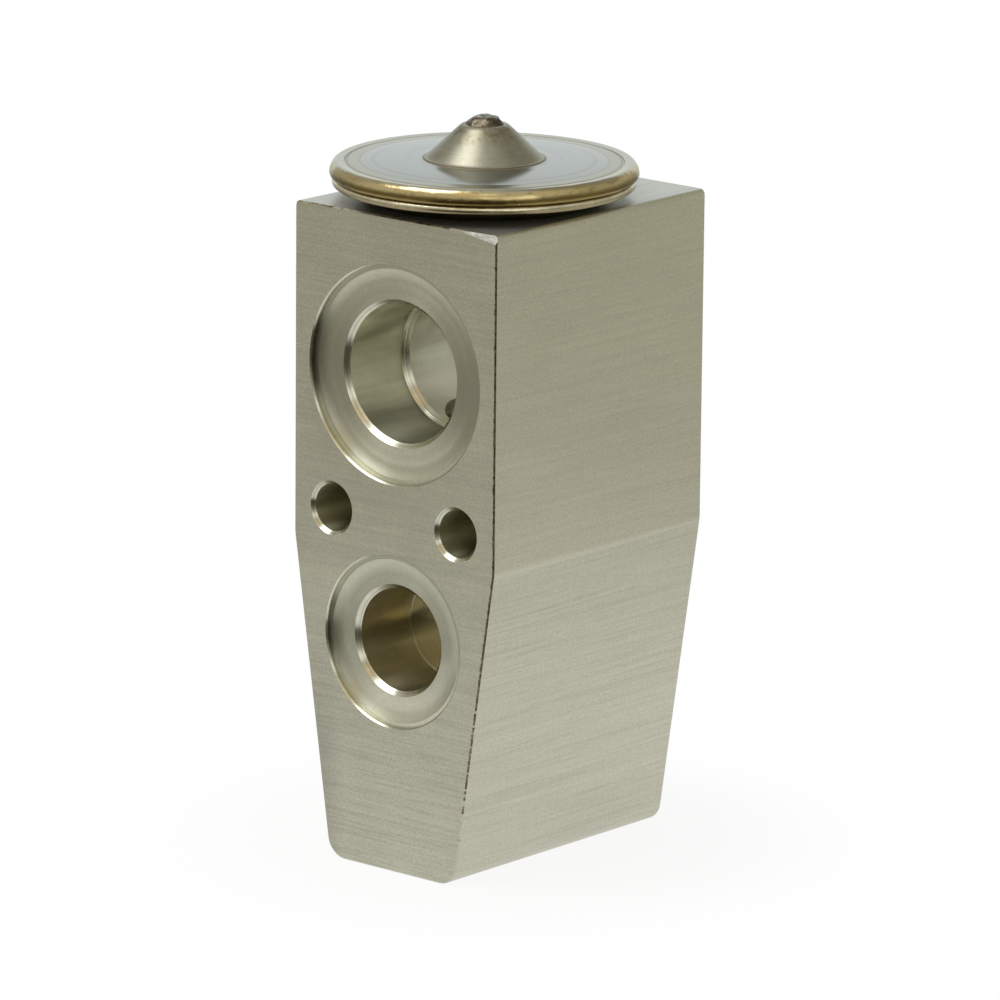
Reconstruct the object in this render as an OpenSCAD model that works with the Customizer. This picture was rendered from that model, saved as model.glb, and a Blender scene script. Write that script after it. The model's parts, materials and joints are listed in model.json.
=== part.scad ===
// Block expansion valve: an aluminium block with two suction ports, two liquid ports and two
// bolt holes, closed on top by a diaphragm head and below by an adjusting screw.
// The origin is on the valve axis at the base. +Z points up, and the pipe face looks along -Y.

/* [Block] */
// Width of the block between its upright sides
body_w = 36; // [35:0.5:42]
// Depth of the block from the pipe face to the evaporator face
body_d = 43.8; // [42:0.2:50]
// Height of the block from its base to its top face
body_h = 91.2; // [90:0.2:98]
// Width of the base between its sharp corners
base_w = 22.6; // [22:0.2:30]
// Height of the crease where the sides begin to taper
crease_z = 44.9; // [40:0.1:50]
// Radius that softens the crease
crease_r = 6; // [2:0.5:12]
// Radius of the two long edges of the base
base_edge_r = 3; // [2:0.1:4]
// Radius of the two long edges of the top
top_edge_r = 0.8; // [0.4:0.1:2]
// Distance from the pipe face back to the valve axis
front_to_axis = 18.3; // [17.5:0.1:20]

/* [Suction ports] */
// Height of the suction passage
suction_z = 69.5; // [68:0.1:71]
// Radius of the recess round each suction port
suction_recess_r = 15.4; // [14.5:0.1:16]
// Depth of that recess
suction_recess_depth = 1.3; // [1:0.05:1.8]
// Radius of the bore that takes the suction pipe
suction_bore_r = 9.6; // [9.2:0.05:10]
// Depth of that bore from the face
suction_bore_depth = 12.3; // [10:0.1:13]
// Radius of the passage between the two suction bores
suction_way_r = 8.75; // [8:0.05:9]

/* [Liquid ports] */
// Height of the liquid inlet on the pipe face
inlet_z = 32.4; // [31:0.1:33.5]
// Radius of the recess round each liquid port
liquid_recess_r = 12.3; // [11:0.1:12.6]
// Depth of that recess
liquid_recess_depth = 1.15; // [0.9:0.05:1.6]
// Radius of the bore that takes the liquid pipe
liquid_bore_r = 7.2; // [6.8:0.05:7.6]
// Distance from the end of the inlet bore to the valve axis
inlet_end_to_axis = 5.9; // [5.7:0.05:6.1]
// Depth of the outlet bore from the evaporator face
outlet_bore_depth = 12.4; // [11:0.1:14]
// Full angle of the drill point at the end of the inlet bore
drill_angle = 118; // [110:1:124]
// Radius of the drilling from the outlet bore to the seat
outlet_way_r = 2.3; // [2:0.05:2.4]

/* [Port edges] */
// Chamfer where a recess meets the face
recess_chamfer = 0.3; // [0.1:0.05:0.5]
// Width of the ring step at the foot of the recess wall
recess_step_w = 0.6; // [0.3:0.05:0.9]
// Depth of the ring step above the dished floor
recess_step_h = 0.1; // [0.05:0.01:0.15]
// Width of the dished part of the recess floor
dish_w = 2.2; // [1.2:0.1:2.6]
// Height that the dished floor rises towards its rim
dish_h = 0.45; // [0.2:0.05:0.5]
// Chamfer at the mouth of each bore
mouth_chamfer = 0.65; // [0.4:0.05:0.8]

/* [Bolt holes] */
// Radius of the two holes through the block
bolt_hole_r = 3.3; // [2.8:0.05:3.5]
// Distance between the two holes
bolt_pitch = 22.4; // [21.5:0.1:23]
// Height of the two holes
bolt_z = 49.3; // [49:0.1:50]
// Chamfer at each end of a bolt hole
bolt_chamfer = 0.5; // [0.2:0.05:0.6]

/* [Head] */
// Largest radius of the weld round the head
head_r = 21.1; // [20.7:0.05:22]
// Width of the weld outside the rim of the housing, diaphragm and cover
weld_w = 1.1; // [0.95:0.05:1.3]
// Height of the rim's joint above the block
rim_rise = 3.75; // [3.6:0.05:4]
// Height of the cover's flat top above the block
cover_rise = 5.45; // [5.4:0.05:5.8]
// Thickness of the cover's sheet
cover_t = 0.95; // [0.8:0.05:1]
// Width of the step round the cover, inside the rim
cover_step_w = 1; // [0.9:0.05:1.2]
// Distance from that step in to the faint pressed ring on the cover
cover_ring_inset = 2.2; // [2:0.1:6]
// Radius of the cone at its foot
cone_foot_r = 7.7; // [7:0.1:8.5]
// Radius of the cone at its shoulder
cone_top_r = 3.3; // [3:0.1:3.6]
// Height of the cone's shoulder above the block
cone_rise = 10.3; // [9.5:0.1:11]
// Width of the pressed ring round the cone's foot
cone_ring_w = 1.4; // [1:0.1:2]
// Radius of the threaded neck
neck_r = 12; // [11.6:0.1:12.4]
// Length of the threaded neck below the block's top
neck_len = 8.2; // [7:0.1:8.4]
// Radius of the bore through the neck
neck_bore_r = 9.4; // [9:0.05:9.8]
// Radius of the opening from the neck down to the suction passage
throat_r = 7; // [6:0.1:7.8]
// Thickness of the diaphragm
diaphragm_t = 0.1; // [0.08:0.01:0.12]
// Rise of the diaphragm's middle above its rim with the valve shut
diaphragm_rise = 0.5; // [0.5:0.01:0.55]
// Radius of the diaphragm's flat middle
diaphragm_flat_r = 11.8; // [11.6:0.1:12.5]
// Radius of the charge plug's head
plug_r = 2.3; // [2:0.05:2.6]
// Height of the charge plug's head
plug_h = 1.15; // [0.8:0.05:1.4]
// Radius of the charge plug's stem
plug_stem_r = 0.85; // [0.6:0.05:1.1]

/* [Stem] */
// Travel of the stem from shut to fully open
stroke = 0.5; // [0.3:0.05:0.5]
// Thickness of the pad's disc under the diaphragm
pad_t = 1.6; // [1.3:0.05:1.65]
// Radius of the pad's disc
pad_r = 11.5; // [10.5:0.1:11.6]
// Radius of the sensing rod
sensing_rod_r = 2.8; // [2.5:0.05:3]
// Radius of the push rod
push_rod_r = 1; // [0.8:0.05:1.1]
// Length of the pad's socket that holds the sensing rod, below the hub
socket_len = 3; // [2:0.1:3.5]
// Wall of that socket
socket_wall = 1.8; // [1.2:0.1:2]
// Length of the push rod inside the sensing rod
push_rod_grip = 3; // [2:0.1:4]
// Length of the narrow guide bore round the push rod
guide_len = 6.6; // [5:0.1:7]
// Radius of the valve ball
ball_r = 2.4; // [2.3:0.05:2.5]

/* [Seat] */
// Height of the seat above the inlet's centre line
seat_rise = 4.2; // [4.2:0.1:4.6]
// Radius of the seat's bush
seat_r = 3; // [2.8:0.05:3.05]
// Height of the seat's bush
seat_h = 2.4; // [2:0.1:2.6]
// Radius of the orifice
orifice_r = 1.6; // [1.4:0.05:1.65]
// Width of the seat's chamfer that the ball closes on
seat_chamfer = 0.6; // [0.5:0.05:0.7]

/* [Chamber and spring] */
// Radius of the valve chamber
chamber_r = 6.3; // [6.1:0.05:6.5]
// Radius of the spring's wire
wire_r = 0.55; // [0.4:0.05:0.6]
// Radius from the axis to the middle of the spring's wire
coil_r = 4.1; // [4:0.05:4.2]
// Number of free turns of the spring
free_turns = 5; // [4:1:6]
// Radius of the ball carrier's flange
flange_r = 4.8; // [4.7:0.05:5]
// Thickness of the ball carrier's flange
flange_t = 1.5; // [1:0.1:2]
// Length of the ball carrier's pilot inside the spring
pilot_len = 3; // [2:0.1:4]
// Chamfer at the pilot's foot
pilot_chamfer = 0.5; // [0.3:0.05:0.7]
// Number of legs on the damping spring
damper_legs = 3; // [3:1:6]
// Thickness of the damping spring's sheet
damper_t = 0.3; // [0.2:0.05:0.4]
// Height of the damping spring's legs
damper_leg_h = 2.6; // [2:0.1:3]

/* [Adjusting screw] */
// Radius of the screw's thread
screw_r = 7.45; // [7:0.05:7.6]
// Depth of the screw's foot inside the base
screw_recess = 1.2; // [1:0.1:2]
// Length of the screw's thread
screw_thread_len = 6.5; // [5.5:0.1:7]
// Length of the screw's spigot above the thread
spigot_len = 4.8; // [4.4:0.1:5.4]
// Travel of the screw each way from where it is set
screw_travel = 0.5; // [0.3:0.1:0.6]
// Width across the flats of the hexagon socket
socket_af = 6; // [5:0.5:7]
// Depth of the hexagon socket
socket_depth = 5; // [3:0.1:5]
// Depth of the groove for the screw's seal ring
screw_groove_depth = 1.35; // [1.2:0.05:1.4]

/* [Seals] */
// Radius of the head seal ring's section
head_seal_wire_r = 0.95; // [0.8:0.05:1]
// Radius of the rod seal ring's section
rod_seal_wire_r = 0.9; // [0.8:0.05:1]
// Depth of the rod seal's pocket below the suction passage
seal_pocket_depth = 3.95; // [3.6:0.05:4.5]
// Thickness of the seal retainer
retainer_t = 0.6; // [0.4:0.05:0.8]

/* [Clearances] */
// Radial clearance between pieces that slide or turn on each other
running_gap = 0.05; // [0.02:0.01:0.08]
// Clearance between pieces that are fitted together and stay still
seat_gap = 0.02; // [0.01:0.01:0.04]

/* [Hidden] */
$fn = 96;
over = 1;
ALUMINIUM = "#9B9987";
COVER_STEEL = "#B3B9B2";
HOUSING_STEEL = "#B8A58C";
WELD_GOLD = "#8A7440";
DARK_STEEL = "#4A443A";
BRIGHT_STEEL = "#A9ABA8";
BRASS = "#B08D4C";
RUBBER = "#2B2F2B";

front_y = -front_to_axis;
rear_y = body_d - front_to_axis;

// Heights up the valve axis
seat_z = inlet_z + seat_rise;
seat_top_z = seat_z + seat_h;
outlet_way_z = seat_top_z + outlet_way_r - 0.1;
outlet_z = outlet_way_z - (liquid_bore_r - outlet_way_r) + 0.1;
pocket_top_z = outlet_way_z + outlet_way_r + 0.3;
rod_bore_floor_z = pocket_top_z + guide_len;
seal_floor_z = suction_z - suction_way_r - seal_pocket_depth;

// The ball hangs just clear of its seat, on the 45 degree chamfer
ball_z = seat_z + orifice_r + seat_chamfer - (ball_r + running_gap) * sqrt(2);
ball_top_z = ball_z + ball_r;
cup_rim_z = ball_z - ball_r * 0.4;
flange_top_z = ball_z - ball_r - 0.7;
flange_foot_z = flange_top_z - flange_t;

// The adjusting screw
screw_foot_z = screw_recess;
screw_shoulder_z = screw_foot_z + screw_thread_len;
screw_top_z = screw_shoulder_z + spigot_len;
spring_seat_depth = 1.2;
spring_foot_z = screw_top_z - spring_seat_depth;
screw_bore_r = screw_r + running_gap;
screw_bore_depth = screw_shoulder_z + screw_travel + 0.6;
spigot_r = chamber_r - running_gap;
screw_groove_r = spigot_r - screw_groove_depth;
screw_groove_w = 2;
screw_groove_z = screw_shoulder_z + 0.9 + screw_groove_w / 2;
screw_seal_r = (chamber_r + screw_groove_r) / 2;
screw_seal_wire_r = (chamber_r - screw_groove_r) / 2 - running_gap;
pilot_r = coil_r - wire_r - 0.15;

// The rod seal
seal_pocket_r = sensing_rod_r + 2 * rod_seal_wire_r + 2 * running_gap;
rod_seal_r = (sensing_rod_r + seal_pocket_r) / 2;
rod_seal_z = seal_floor_z + rod_seal_wire_r;
retainer_z = rod_seal_z + rod_seal_wire_r + running_gap;

// The head, outwards from the cover and by heights above the block's top
rim_r = head_r - weld_w;
cover_step_r = rim_r - cover_step_w;
cover_ring_r = cover_step_r - cover_ring_inset;
rim_z = body_h + rim_rise;
diaphragm_top_z = rim_z + diaphragm_t;
cover_z = body_h + cover_rise;
cone_top_z = body_h + cone_rise;
pad_top_z = rim_z + diaphragm_rise - seat_gap;
pad_foot_z = pad_top_z - pad_t;
housing_floor_z = pad_foot_z - stroke - 0.15;
lip_z = rim_z - 1.8;
lip_r = 0.52;
lip_middle_r = head_r - 0.4 - lip_r;
land_r = neck_r + 3.5;
seal_seat_depth = 2 * head_seal_wire_r;
head_seal_r = neck_r + head_seal_wire_r + 0.15;
seal_seat_r = head_seal_r + head_seal_wire_r + 0.15;
hub_foot_z = body_h - 0.5;
socket_hub_r = sensing_rod_r + socket_wall;
socket_hub_z = hub_foot_z - socket_len;
rod_top_z = pad_foot_z;

function unit(v) = v / norm(v);

// Points on an arc of an ellipse, from one angle to another
function arc(middle, rx, rz, from, to, steps) =
    [for (i = [0:steps]) let (a = from + (to - from) * i / steps)
        middle + [rx * cos(a), rz * sin(a)]];

module turned(outline) rotate_extrude() polygon(outline);

// Turns a piece that is drawn up the Z axis so that it points from the pipe face inwards
module into_front(z) translate([0, front_y, z]) rotate([-90, 0, 0]) children();

// The same from the evaporator face
module into_rear(z) translate([0, rear_y, z]) rotate([90, 0, 0]) children();

module seal_ring(z, middle_r, wire_r) translate([0, 0, z]) rotate_extrude()
    translate([middle_r, 0]) circle(wire_r, $fn = 32);

// What a corner of a flat outline loses when it is rounded with radius r
module corner_waste(corner, before, after, r) {
    u = unit(before - corner);
    v = unit(after - corner);
    half = acos(u * v) / 2;
    reach = r / tan(half);
    difference() {
        polygon([corner + u * reach, corner - (u + v) * 0.01, corner + v * reach]);
        translate(corner + unit(u + v) * r / sin(half)) circle(r);
    }
}

// The block's end view: upright sides, a crease, then sides that taper to the base
module block_outline() {
    half = body_w / 2;
    foot = base_w / 2;
    right = [[foot, 0], [half, crease_z], [half, body_h]];
    left = [[-half, body_h], [-half, crease_z], [-foot, 0]];
    corners = concat(right, left);
    radii = [base_edge_r, crease_r, top_edge_r, top_edge_r, crease_r, base_edge_r];
    n = len(corners);
    difference() {
        polygon(corners);
        for (i = [0:n - 1])
            corner_waste(corners[i], corners[(i + n - 1) % n], corners[(i + 1) % n], radii[i]);
    }
}

module block() translate([0, rear_y, 0]) rotate([90, 0, 0])
    linear_extrude(body_d) block_outline();

// The turned form of a port: recess with a dished floor, mouth and bore. end holds the
// points, as [radius, depth], that follow the bore's wall down to the axis.
module port_cut(recess_r, recess_depth, bore_r, end) {
    wall_r = recess_r - recess_chamfer;
    step_r = wall_r - recess_step_w;
    rim_depth = recess_depth - dish_h;
    turned(concat([
        [0, -over],
        [recess_r, -over],
        [recess_r, 0],
        [wall_r, recess_chamfer],
        [wall_r, rim_depth - recess_step_h],
        [step_r, rim_depth - recess_step_h],
        [step_r, rim_depth],
        [step_r - dish_w * 0.45, recess_depth - dish_h * 0.35],
        [step_r - dish_w, recess_depth],
        [bore_r + mouth_chamfer, recess_depth],
        [bore_r, recess_depth + mouth_chamfer]
    ], end));
}

module suction_port_cut() {
    shoulder = suction_bore_r - suction_way_r;
    port_cut(suction_recess_r, suction_recess_depth, suction_bore_r, [
        [suction_bore_r, suction_bore_depth],
        [suction_way_r, suction_bore_depth + shoulder],
        [0, suction_bore_depth + shoulder]
    ]);
}

module inlet_port_cut() {
    depth = front_to_axis - inlet_end_to_axis;
    port_cut(liquid_recess_r, liquid_recess_depth, liquid_bore_r, [
        [liquid_bore_r, depth],
        [liquid_bore_r - 0.25, depth + 0.1],
        [0, depth + 0.1 + (liquid_bore_r - 0.25) / tan(drill_angle / 2)]
    ]);
}

module outlet_port_cut() port_cut(liquid_recess_r, liquid_recess_depth, liquid_bore_r, [
    [liquid_bore_r, outlet_bore_depth],
    [0, outlet_bore_depth]
]);

module bolt_hole_cut() turned([
    [0, -over],
    [bolt_hole_r + bolt_chamfer, -over],
    [bolt_hole_r + bolt_chamfer, 0],
    [bolt_hole_r, bolt_chamfer],
    [bolt_hole_r, body_d - bolt_chamfer],
    [bolt_hole_r + bolt_chamfer, body_d],
    [bolt_hole_r + bolt_chamfer, body_d + over],
    [0, body_d + over]
]);

// Everything bored from below: screw thread, chamber, seat pocket and push rod guide
module lower_bore_cut() turned([
    [0, -over],
    [screw_bore_r + 0.5, -over],
    [screw_bore_r + 0.5, 0],
    [screw_bore_r, 0.5],
    [screw_bore_r, screw_bore_depth],
    [chamber_r, screw_bore_depth + (screw_bore_r - chamber_r) / 2],
    [chamber_r, seat_z - 1],
    [chamber_r - 1, seat_z],
    [seat_r, seat_z],
    [seat_r, pocket_top_z - 1],
    [push_rod_r + running_gap, pocket_top_z],
    [push_rod_r + running_gap, rod_bore_floor_z + over],
    [0, rod_bore_floor_z + over]
]);

// Everything bored from above: head seal seat, neck recess, throat, rod seal pocket and rod bore
module upper_bore_cut() {
    recess_floor_z = body_h - neck_len - 0.4;
    turned([
        [0, rod_bore_floor_z],
        [sensing_rod_r + running_gap, rod_bore_floor_z],
        [sensing_rod_r + running_gap, seal_floor_z],
        [seal_pocket_r, seal_floor_z],
        [seal_pocket_r, suction_z - suction_way_r],
        [seal_pocket_r + 0.4, suction_z - suction_way_r + 0.4],
        [seal_pocket_r + 0.4, suction_z],
        [throat_r, suction_z],
        [throat_r, recess_floor_z],
        [neck_r + seat_gap, recess_floor_z],
        [neck_r + seat_gap, body_h - seal_seat_depth],
        [seal_seat_r, body_h - seal_seat_depth],
        [seal_seat_r, body_h + over],
        [0, body_h + over]
    ]);
}

module valve_body() color(ALUMINIUM) difference() {
    block();
    into_front(suction_z) suction_port_cut();
    into_rear(suction_z) suction_port_cut();
    into_front(suction_z) cylinder(r = suction_way_r, h = body_d);
    into_front(inlet_z) inlet_port_cut();
    into_rear(outlet_z) outlet_port_cut();
    into_rear(outlet_way_z) cylinder(r = outlet_way_r, h = rear_y);
    for (side = [-1, 1])
        translate([side * bolt_pitch / 2, 0, 0]) into_front(bolt_z) bolt_hole_cut();
    lower_bore_cut();
    upper_bore_cut();
}

// The pressed cover: clamped rim, flat top with two pressed rings, and a hollow cone on top
module head_cover() color(COVER_STEEL) {
    hole_r = plug_stem_r + seat_gap;
    ring_z = cover_z + 0.07;
    ceiling_z = cover_z - cover_t;
    inner_r = cone_top_r - cover_t;
    turned([
        [hole_r, cone_top_z],
        [cone_top_r - 0.5, cone_top_z],
        [cone_top_r, cone_top_z - 0.3],
        [cone_foot_r, cover_z + 0.45],
        [cone_foot_r + 0.4, cover_z + 0.17],
        [cone_foot_r + 0.8, ring_z],
        [cone_foot_r + cone_ring_w - 0.1, ring_z],
        [cone_foot_r + cone_ring_w, cover_z],
        [cover_ring_r, cover_z],
        [cover_ring_r + 0.15, cover_z - 0.05],
        [cover_step_r - 0.15, cover_z - 0.05],
        [cover_step_r, cover_z - 0.2],
        [cover_step_r + 0.1, cover_z - 0.25],
        [rim_r, cover_z - 0.9],
        [rim_r, diaphragm_top_z + seat_gap],
        [rim_r - 2.7, diaphragm_top_z + seat_gap],
        [rim_r - 3.3, ceiling_z],
        [cone_foot_r - 0.2, ceiling_z],
        [inner_r, cone_top_z - cover_t - 0.2],
        [hole_r, cone_top_z - cover_t - 0.2]
    ]);
}

// The charge plug: a stem in the cone's hole under a flattened, upset head
module charge_plug() color(DARK_STEEL) translate([0, 0, cone_top_z]) turned(concat([
    [0, -1.6],
    [plug_stem_r, -1.6],
    [plug_stem_r, seat_gap],
    [plug_r - 0.1, seat_gap],
    [plug_r, 0.2]
], arc([plug_r - 1.1, plug_h - 0.75], 1.1, 0.75, 10, 90, 6), [[0, plug_h]]));

// The weld bead that closes the rim outside cover, diaphragm and housing
module rim_weld() color(WELD_GOLD) {
    inner_r = rim_r + seat_gap;
    waist_z = rim_z - 0.75;
    widest_z = rim_z - 0.15;
    top_z = cover_z - 0.2;
    turned(concat(
        [[inner_r, waist_z + 0.04]],
        arc([head_r - 0.55, widest_z], 0.55, 0.56, -90, 0, 6),
        arc([rim_r, widest_z], head_r - rim_r, top_z - widest_z, 10, 90, 8),
        [
            [cover_step_r + 0.15 + seat_gap, cover_z - 0.22],
            [rim_r + seat_gap, cover_z - 0.89]
        ]
    ));
}

// Height of the diaphragm's lower side at radius r: flat middle, two ripples, flat rim
function diaphragm_z(r) =
    let (t = min(max((r - diaphragm_flat_r) / (rim_r - 3 - diaphragm_flat_r), 0), 1))
    rim_z + diaphragm_rise * (1 + cos(180 * t)) / 2 - 0.05 * (1 - cos(720 * t)) / 2;

module diaphragm() color(BRIGHT_STEEL) {
    steps = 28;
    reach = rim_r - diaphragm_flat_r;
    radii = concat([0], [for (i = [0:steps]) diaphragm_flat_r + reach * i / steps]);
    lower = [for (r = radii) [r, diaphragm_z(r)]];
    upper = [for (i = [len(radii) - 1:-1:0]) [radii[i], diaphragm_z(radii[i]) + diaphragm_t]];
    turned(concat(lower, upper));
}

// The housing: threaded neck, land on the block, coned underside, rolled lip and clamped rim
module head_housing() color(HOUSING_STEEL) {
    land_z = body_h + running_gap;
    turned(concat([
        [neck_bore_r, body_h - neck_len],
        [neck_r - 0.6, body_h - neck_len],
        [neck_r, body_h - neck_len + 0.6],
        [neck_r, land_z],
        [land_r, land_z],
        [lip_middle_r - 0.7, lip_z],
        [lip_middle_r - 0.2, lip_z]
    ], arc([lip_middle_r, lip_z + lip_r], lip_r, lip_r, -90, 70, 8), [
        [rim_r, lip_z + 2 * lip_r + 0.02],
        [rim_r, rim_z - seat_gap],
        [rim_r - 3.2, rim_z - seat_gap],
        [pad_r + 2.3, housing_floor_z],
        [neck_bore_r + 0.3, housing_floor_z],
        [neck_bore_r, housing_floor_z - 0.3]
    ]));
}

module head_seal_ring() color(RUBBER)
    seal_ring(body_h - head_seal_wire_r, head_seal_r, head_seal_wire_r);

// The pad under the diaphragm: disc, guide hub with bleed holes, and a socket for the rod
module diaphragm_pad() color(BRASS) {
    hub_r = neck_bore_r - 2 * running_gap;
    bleed_r = 1.1;
    difference() {
        turned([
            [0, rod_top_z],
            [sensing_rod_r + seat_gap, rod_top_z],
            [sensing_rod_r + seat_gap, socket_hub_z],
            [socket_hub_r, socket_hub_z],
            [socket_hub_r, hub_foot_z],
            [hub_r, hub_foot_z],
            [hub_r, pad_foot_z],
            [pad_r, pad_foot_z],
            [pad_r, pad_top_z - 0.5],
            [pad_r - 0.5, pad_top_z],
            [0, pad_top_z]
        ]);
        for (i = [0:3]) rotate(45 + 90 * i)
            translate([(socket_hub_r + hub_r) / 2, 0, hub_foot_z - over])
                cylinder(r = bleed_r, h = pad_t + pad_foot_z - hub_foot_z + 2 * over, $fn = 32);
    }
}

// The sensing rod hangs from the pad through the suction passage and the rod seal
module sensing_rod() color(ALUMINIUM) {
    foot_z = rod_bore_floor_z + stroke + 0.4;
    socket_r = push_rod_r + seat_gap;
    turned([
        [socket_r, foot_z],
        [sensing_rod_r - 0.3, foot_z],
        [sensing_rod_r, foot_z + 0.3],
        [sensing_rod_r, rod_top_z - 0.3 - seat_gap],
        [sensing_rod_r - 0.3, rod_top_z - seat_gap],
        [0, rod_top_z - seat_gap],
        [0, foot_z + push_rod_grip],
        [socket_r, foot_z + push_rod_grip]
    ]);
}

module push_rod() color(BRIGHT_STEEL) {
    foot_z = ball_top_z + seat_gap;
    top_z = rod_bore_floor_z + stroke + 0.4 + push_rod_grip - seat_gap;
    turned([
        [0, foot_z],
        [push_rod_r - 0.2, foot_z],
        [push_rod_r, foot_z + 0.2],
        [push_rod_r, top_z - 0.2],
        [push_rod_r - 0.2, top_z],
        [0, top_z]
    ]);
}

module rod_seal_ring() color(RUBBER) seal_ring(rod_seal_z, rod_seal_r, rod_seal_wire_r);

// The retainer: a thin slotted star washer that holds the rod seal down in its pocket
module seal_retainer() color(BRIGHT_STEEL) {
    slots = 8;
    slot_w = 0.6;
    outer_r = seal_pocket_r - seat_gap;
    inner_r = sensing_rod_r + 2 * running_gap;
    difference() {
        turned([
            [inner_r, retainer_z],
            [inner_r + 0.7, retainer_z],
            [outer_r, retainer_z + 0.4],
            [outer_r, retainer_z + 0.4 + retainer_t / 2],
            [inner_r + 0.7, retainer_z + retainer_t],
            [inner_r, retainer_z + retainer_t]
        ]);
        for (i = [0:slots - 1]) rotate(360 / slots * i)
            translate([inner_r + 0.9, -slot_w / 2, retainer_z - over])
                cube([outer_r, slot_w, retainer_t + 2 * over]);
    }
}

module orifice_seat() color(BRIGHT_STEEL) turned([
    [orifice_r + seat_chamfer, seat_z],
    [seat_r - seat_gap, seat_z],
    [seat_r - seat_gap, seat_top_z - 0.2],
    [seat_r - seat_gap - 0.2, seat_top_z],
    [orifice_r + 0.3, seat_top_z],
    [orifice_r, seat_top_z - 0.3],
    [orifice_r, seat_z + seat_chamfer]
]);

module valve_ball() color(BRIGHT_STEEL) translate([0, 0, ball_z]) sphere(ball_r, $fn = 48);

// The carrier: a coned cup under the ball, a flange on the spring and a pilot inside it
module ball_carrier() color(BRASS) {
    cup_foot_z = ball_z - (ball_r + seat_gap) * sqrt(2);
    cup_r = cup_rim_z - cup_foot_z;
    turned([
        [0, flange_foot_z - pilot_len],
        [pilot_r - pilot_chamfer, flange_foot_z - pilot_len],
        [pilot_r, flange_foot_z - pilot_len + pilot_chamfer],
        [pilot_r, flange_foot_z],
        [flange_r, flange_foot_z],
        [flange_r, flange_top_z],
        [cup_r + 0.5, flange_top_z],
        [cup_r + 0.5, cup_rim_z],
        [cup_r, cup_rim_z],
        [0, cup_foot_z]
    ]);
}

// The damping spring: a thin ring on the carrier's flange with legs that rub on the chamber wall
module damping_spring() color(BRIGHT_STEEL) {
    leg_angle = 36;
    hole_r = cup_rim_z - (ball_z - (ball_r + seat_gap) * sqrt(2)) + 0.5 + seat_gap;
    wall_r = chamber_r - running_gap;
    foot_z = flange_top_z;
    translate([0, 0, foot_z]) difference() {
        cylinder(r = flange_r - 0.2, h = damper_t);
        translate([0, 0, -over]) cylinder(r = hole_r, h = damper_t + 2 * over);
    }
    for (i = [0:damper_legs - 1]) rotate(90 + 360 / damper_legs * i - leg_angle / 2) {
        translate([0, 0, foot_z]) rotate_extrude(angle = leg_angle)
            translate([flange_r - 0.4, 0]) square([wall_r - flange_r + 0.4, damper_t]);
        translate([0, 0, foot_z]) rotate_extrude(angle = leg_angle)
            translate([wall_r - damper_t, 0]) square([damper_t, damper_leg_h]);
    }
}

// Height of the spring's wire after a number of turns: one closed turn at each end
function coil_height(turn, length) =
    let (closed = 2 * wire_r + 0.03, free = length - 2 * wire_r - 2 * closed)
    wire_r + (turn < 1 ? closed * turn
        : turn < 1 + free_turns ? closed + free * (turn - 1) / free_turns
        : closed + free + closed * (turn - 1 - free_turns));

module superheat_spring() color(BRIGHT_STEEL) {
    sides = 8;
    per_turn = 16;
    length = flange_foot_z - spring_foot_z - 2 * running_gap;
    turns = free_turns + 2;
    rings = turns * per_turn;
    points = [
        for (i = [0:rings], s = [0:sides - 1])
            let (
                turn = i / per_turn,
                out = coil_r + wire_r * cos(360 * s / sides),
                up = coil_height(turn, length) + wire_r * sin(360 * s / sides)
            )
            [out * cos(360 * turn), out * sin(360 * turn), up]
    ];
    walls = [
        for (i = [0:rings - 1], s = [0:sides - 1])
            let (a = i * sides + s, b = i * sides + (s + 1) % sides)
            [a, a + sides, b + sides, b]
    ];
    first = [for (s = [0:sides - 1]) s];
    last = [for (s = [sides - 1:-1:0]) rings * sides + s];
    translate([0, 0, spring_foot_z + running_gap])
        polyhedron(concat(points), concat(walls, [first, last]), convexity = 10);
}

// The adjusting screw: thread, spigot with a seal groove, spring seat and hexagon socket
module adjusting_screw() color(BRASS) {
    groove_foot_z = screw_groove_z - screw_groove_w / 2;
    groove_top_z = screw_groove_z + screw_groove_w / 2;
    cup_r = coil_r + wire_r + 0.2;
    difference() {
        turned([
            [0, screw_foot_z],
            [screw_r - 0.6, screw_foot_z],
            [screw_r, screw_foot_z + 0.6],
            [screw_r, screw_shoulder_z - 0.6],
            [screw_r - 0.6, screw_shoulder_z],
            [spigot_r, screw_shoulder_z],
            [spigot_r, groove_foot_z],
            [screw_groove_r, groove_foot_z],
            [screw_groove_r, groove_top_z],
            [spigot_r, groove_top_z],
            [spigot_r, screw_top_z - 0.4],
            [spigot_r - 0.4, screw_top_z],
            [cup_r, screw_top_z],
            [cup_r, spring_foot_z],
            [pilot_r, spring_foot_z],
            [pilot_r, screw_top_z],
            [pilot_r - 0.4, screw_top_z + 0.4],
            [0, screw_top_z + 0.4]
        ]);
        translate([0, 0, screw_foot_z - over])
            cylinder(d = socket_af / cos(30), h = socket_depth + over, $fn = 6);
    }
}

module screw_seal_ring() color(RUBBER)
    seal_ring(screw_groove_z, screw_seal_r, screw_seal_wire_r);

valve_body();
head_cover();
charge_plug();
rim_weld();
diaphragm();
head_housing();
head_seal_ring();
diaphragm_pad();
sensing_rod();
push_rod();
rod_seal_ring();
seal_retainer();
orifice_seat();
valve_ball();
ball_carrier();
damping_spring();
superheat_spring();
adjusting_screw();
screw_seal_ring();
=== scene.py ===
"""Looks of the block expansion valve: a sawn and turned aluminium block with a pressed, welded head.

Shapes are drawn in millimetres, with the valve axis on Z and the pipe face along -Y, and are scaled to
metres when they are finished."""

import json
import math

import bmesh
import bpy
from bpy.props import FloatProperty, FloatVectorProperty, IntProperty, PointerProperty
from mathutils import Matrix, Vector, noise


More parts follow.
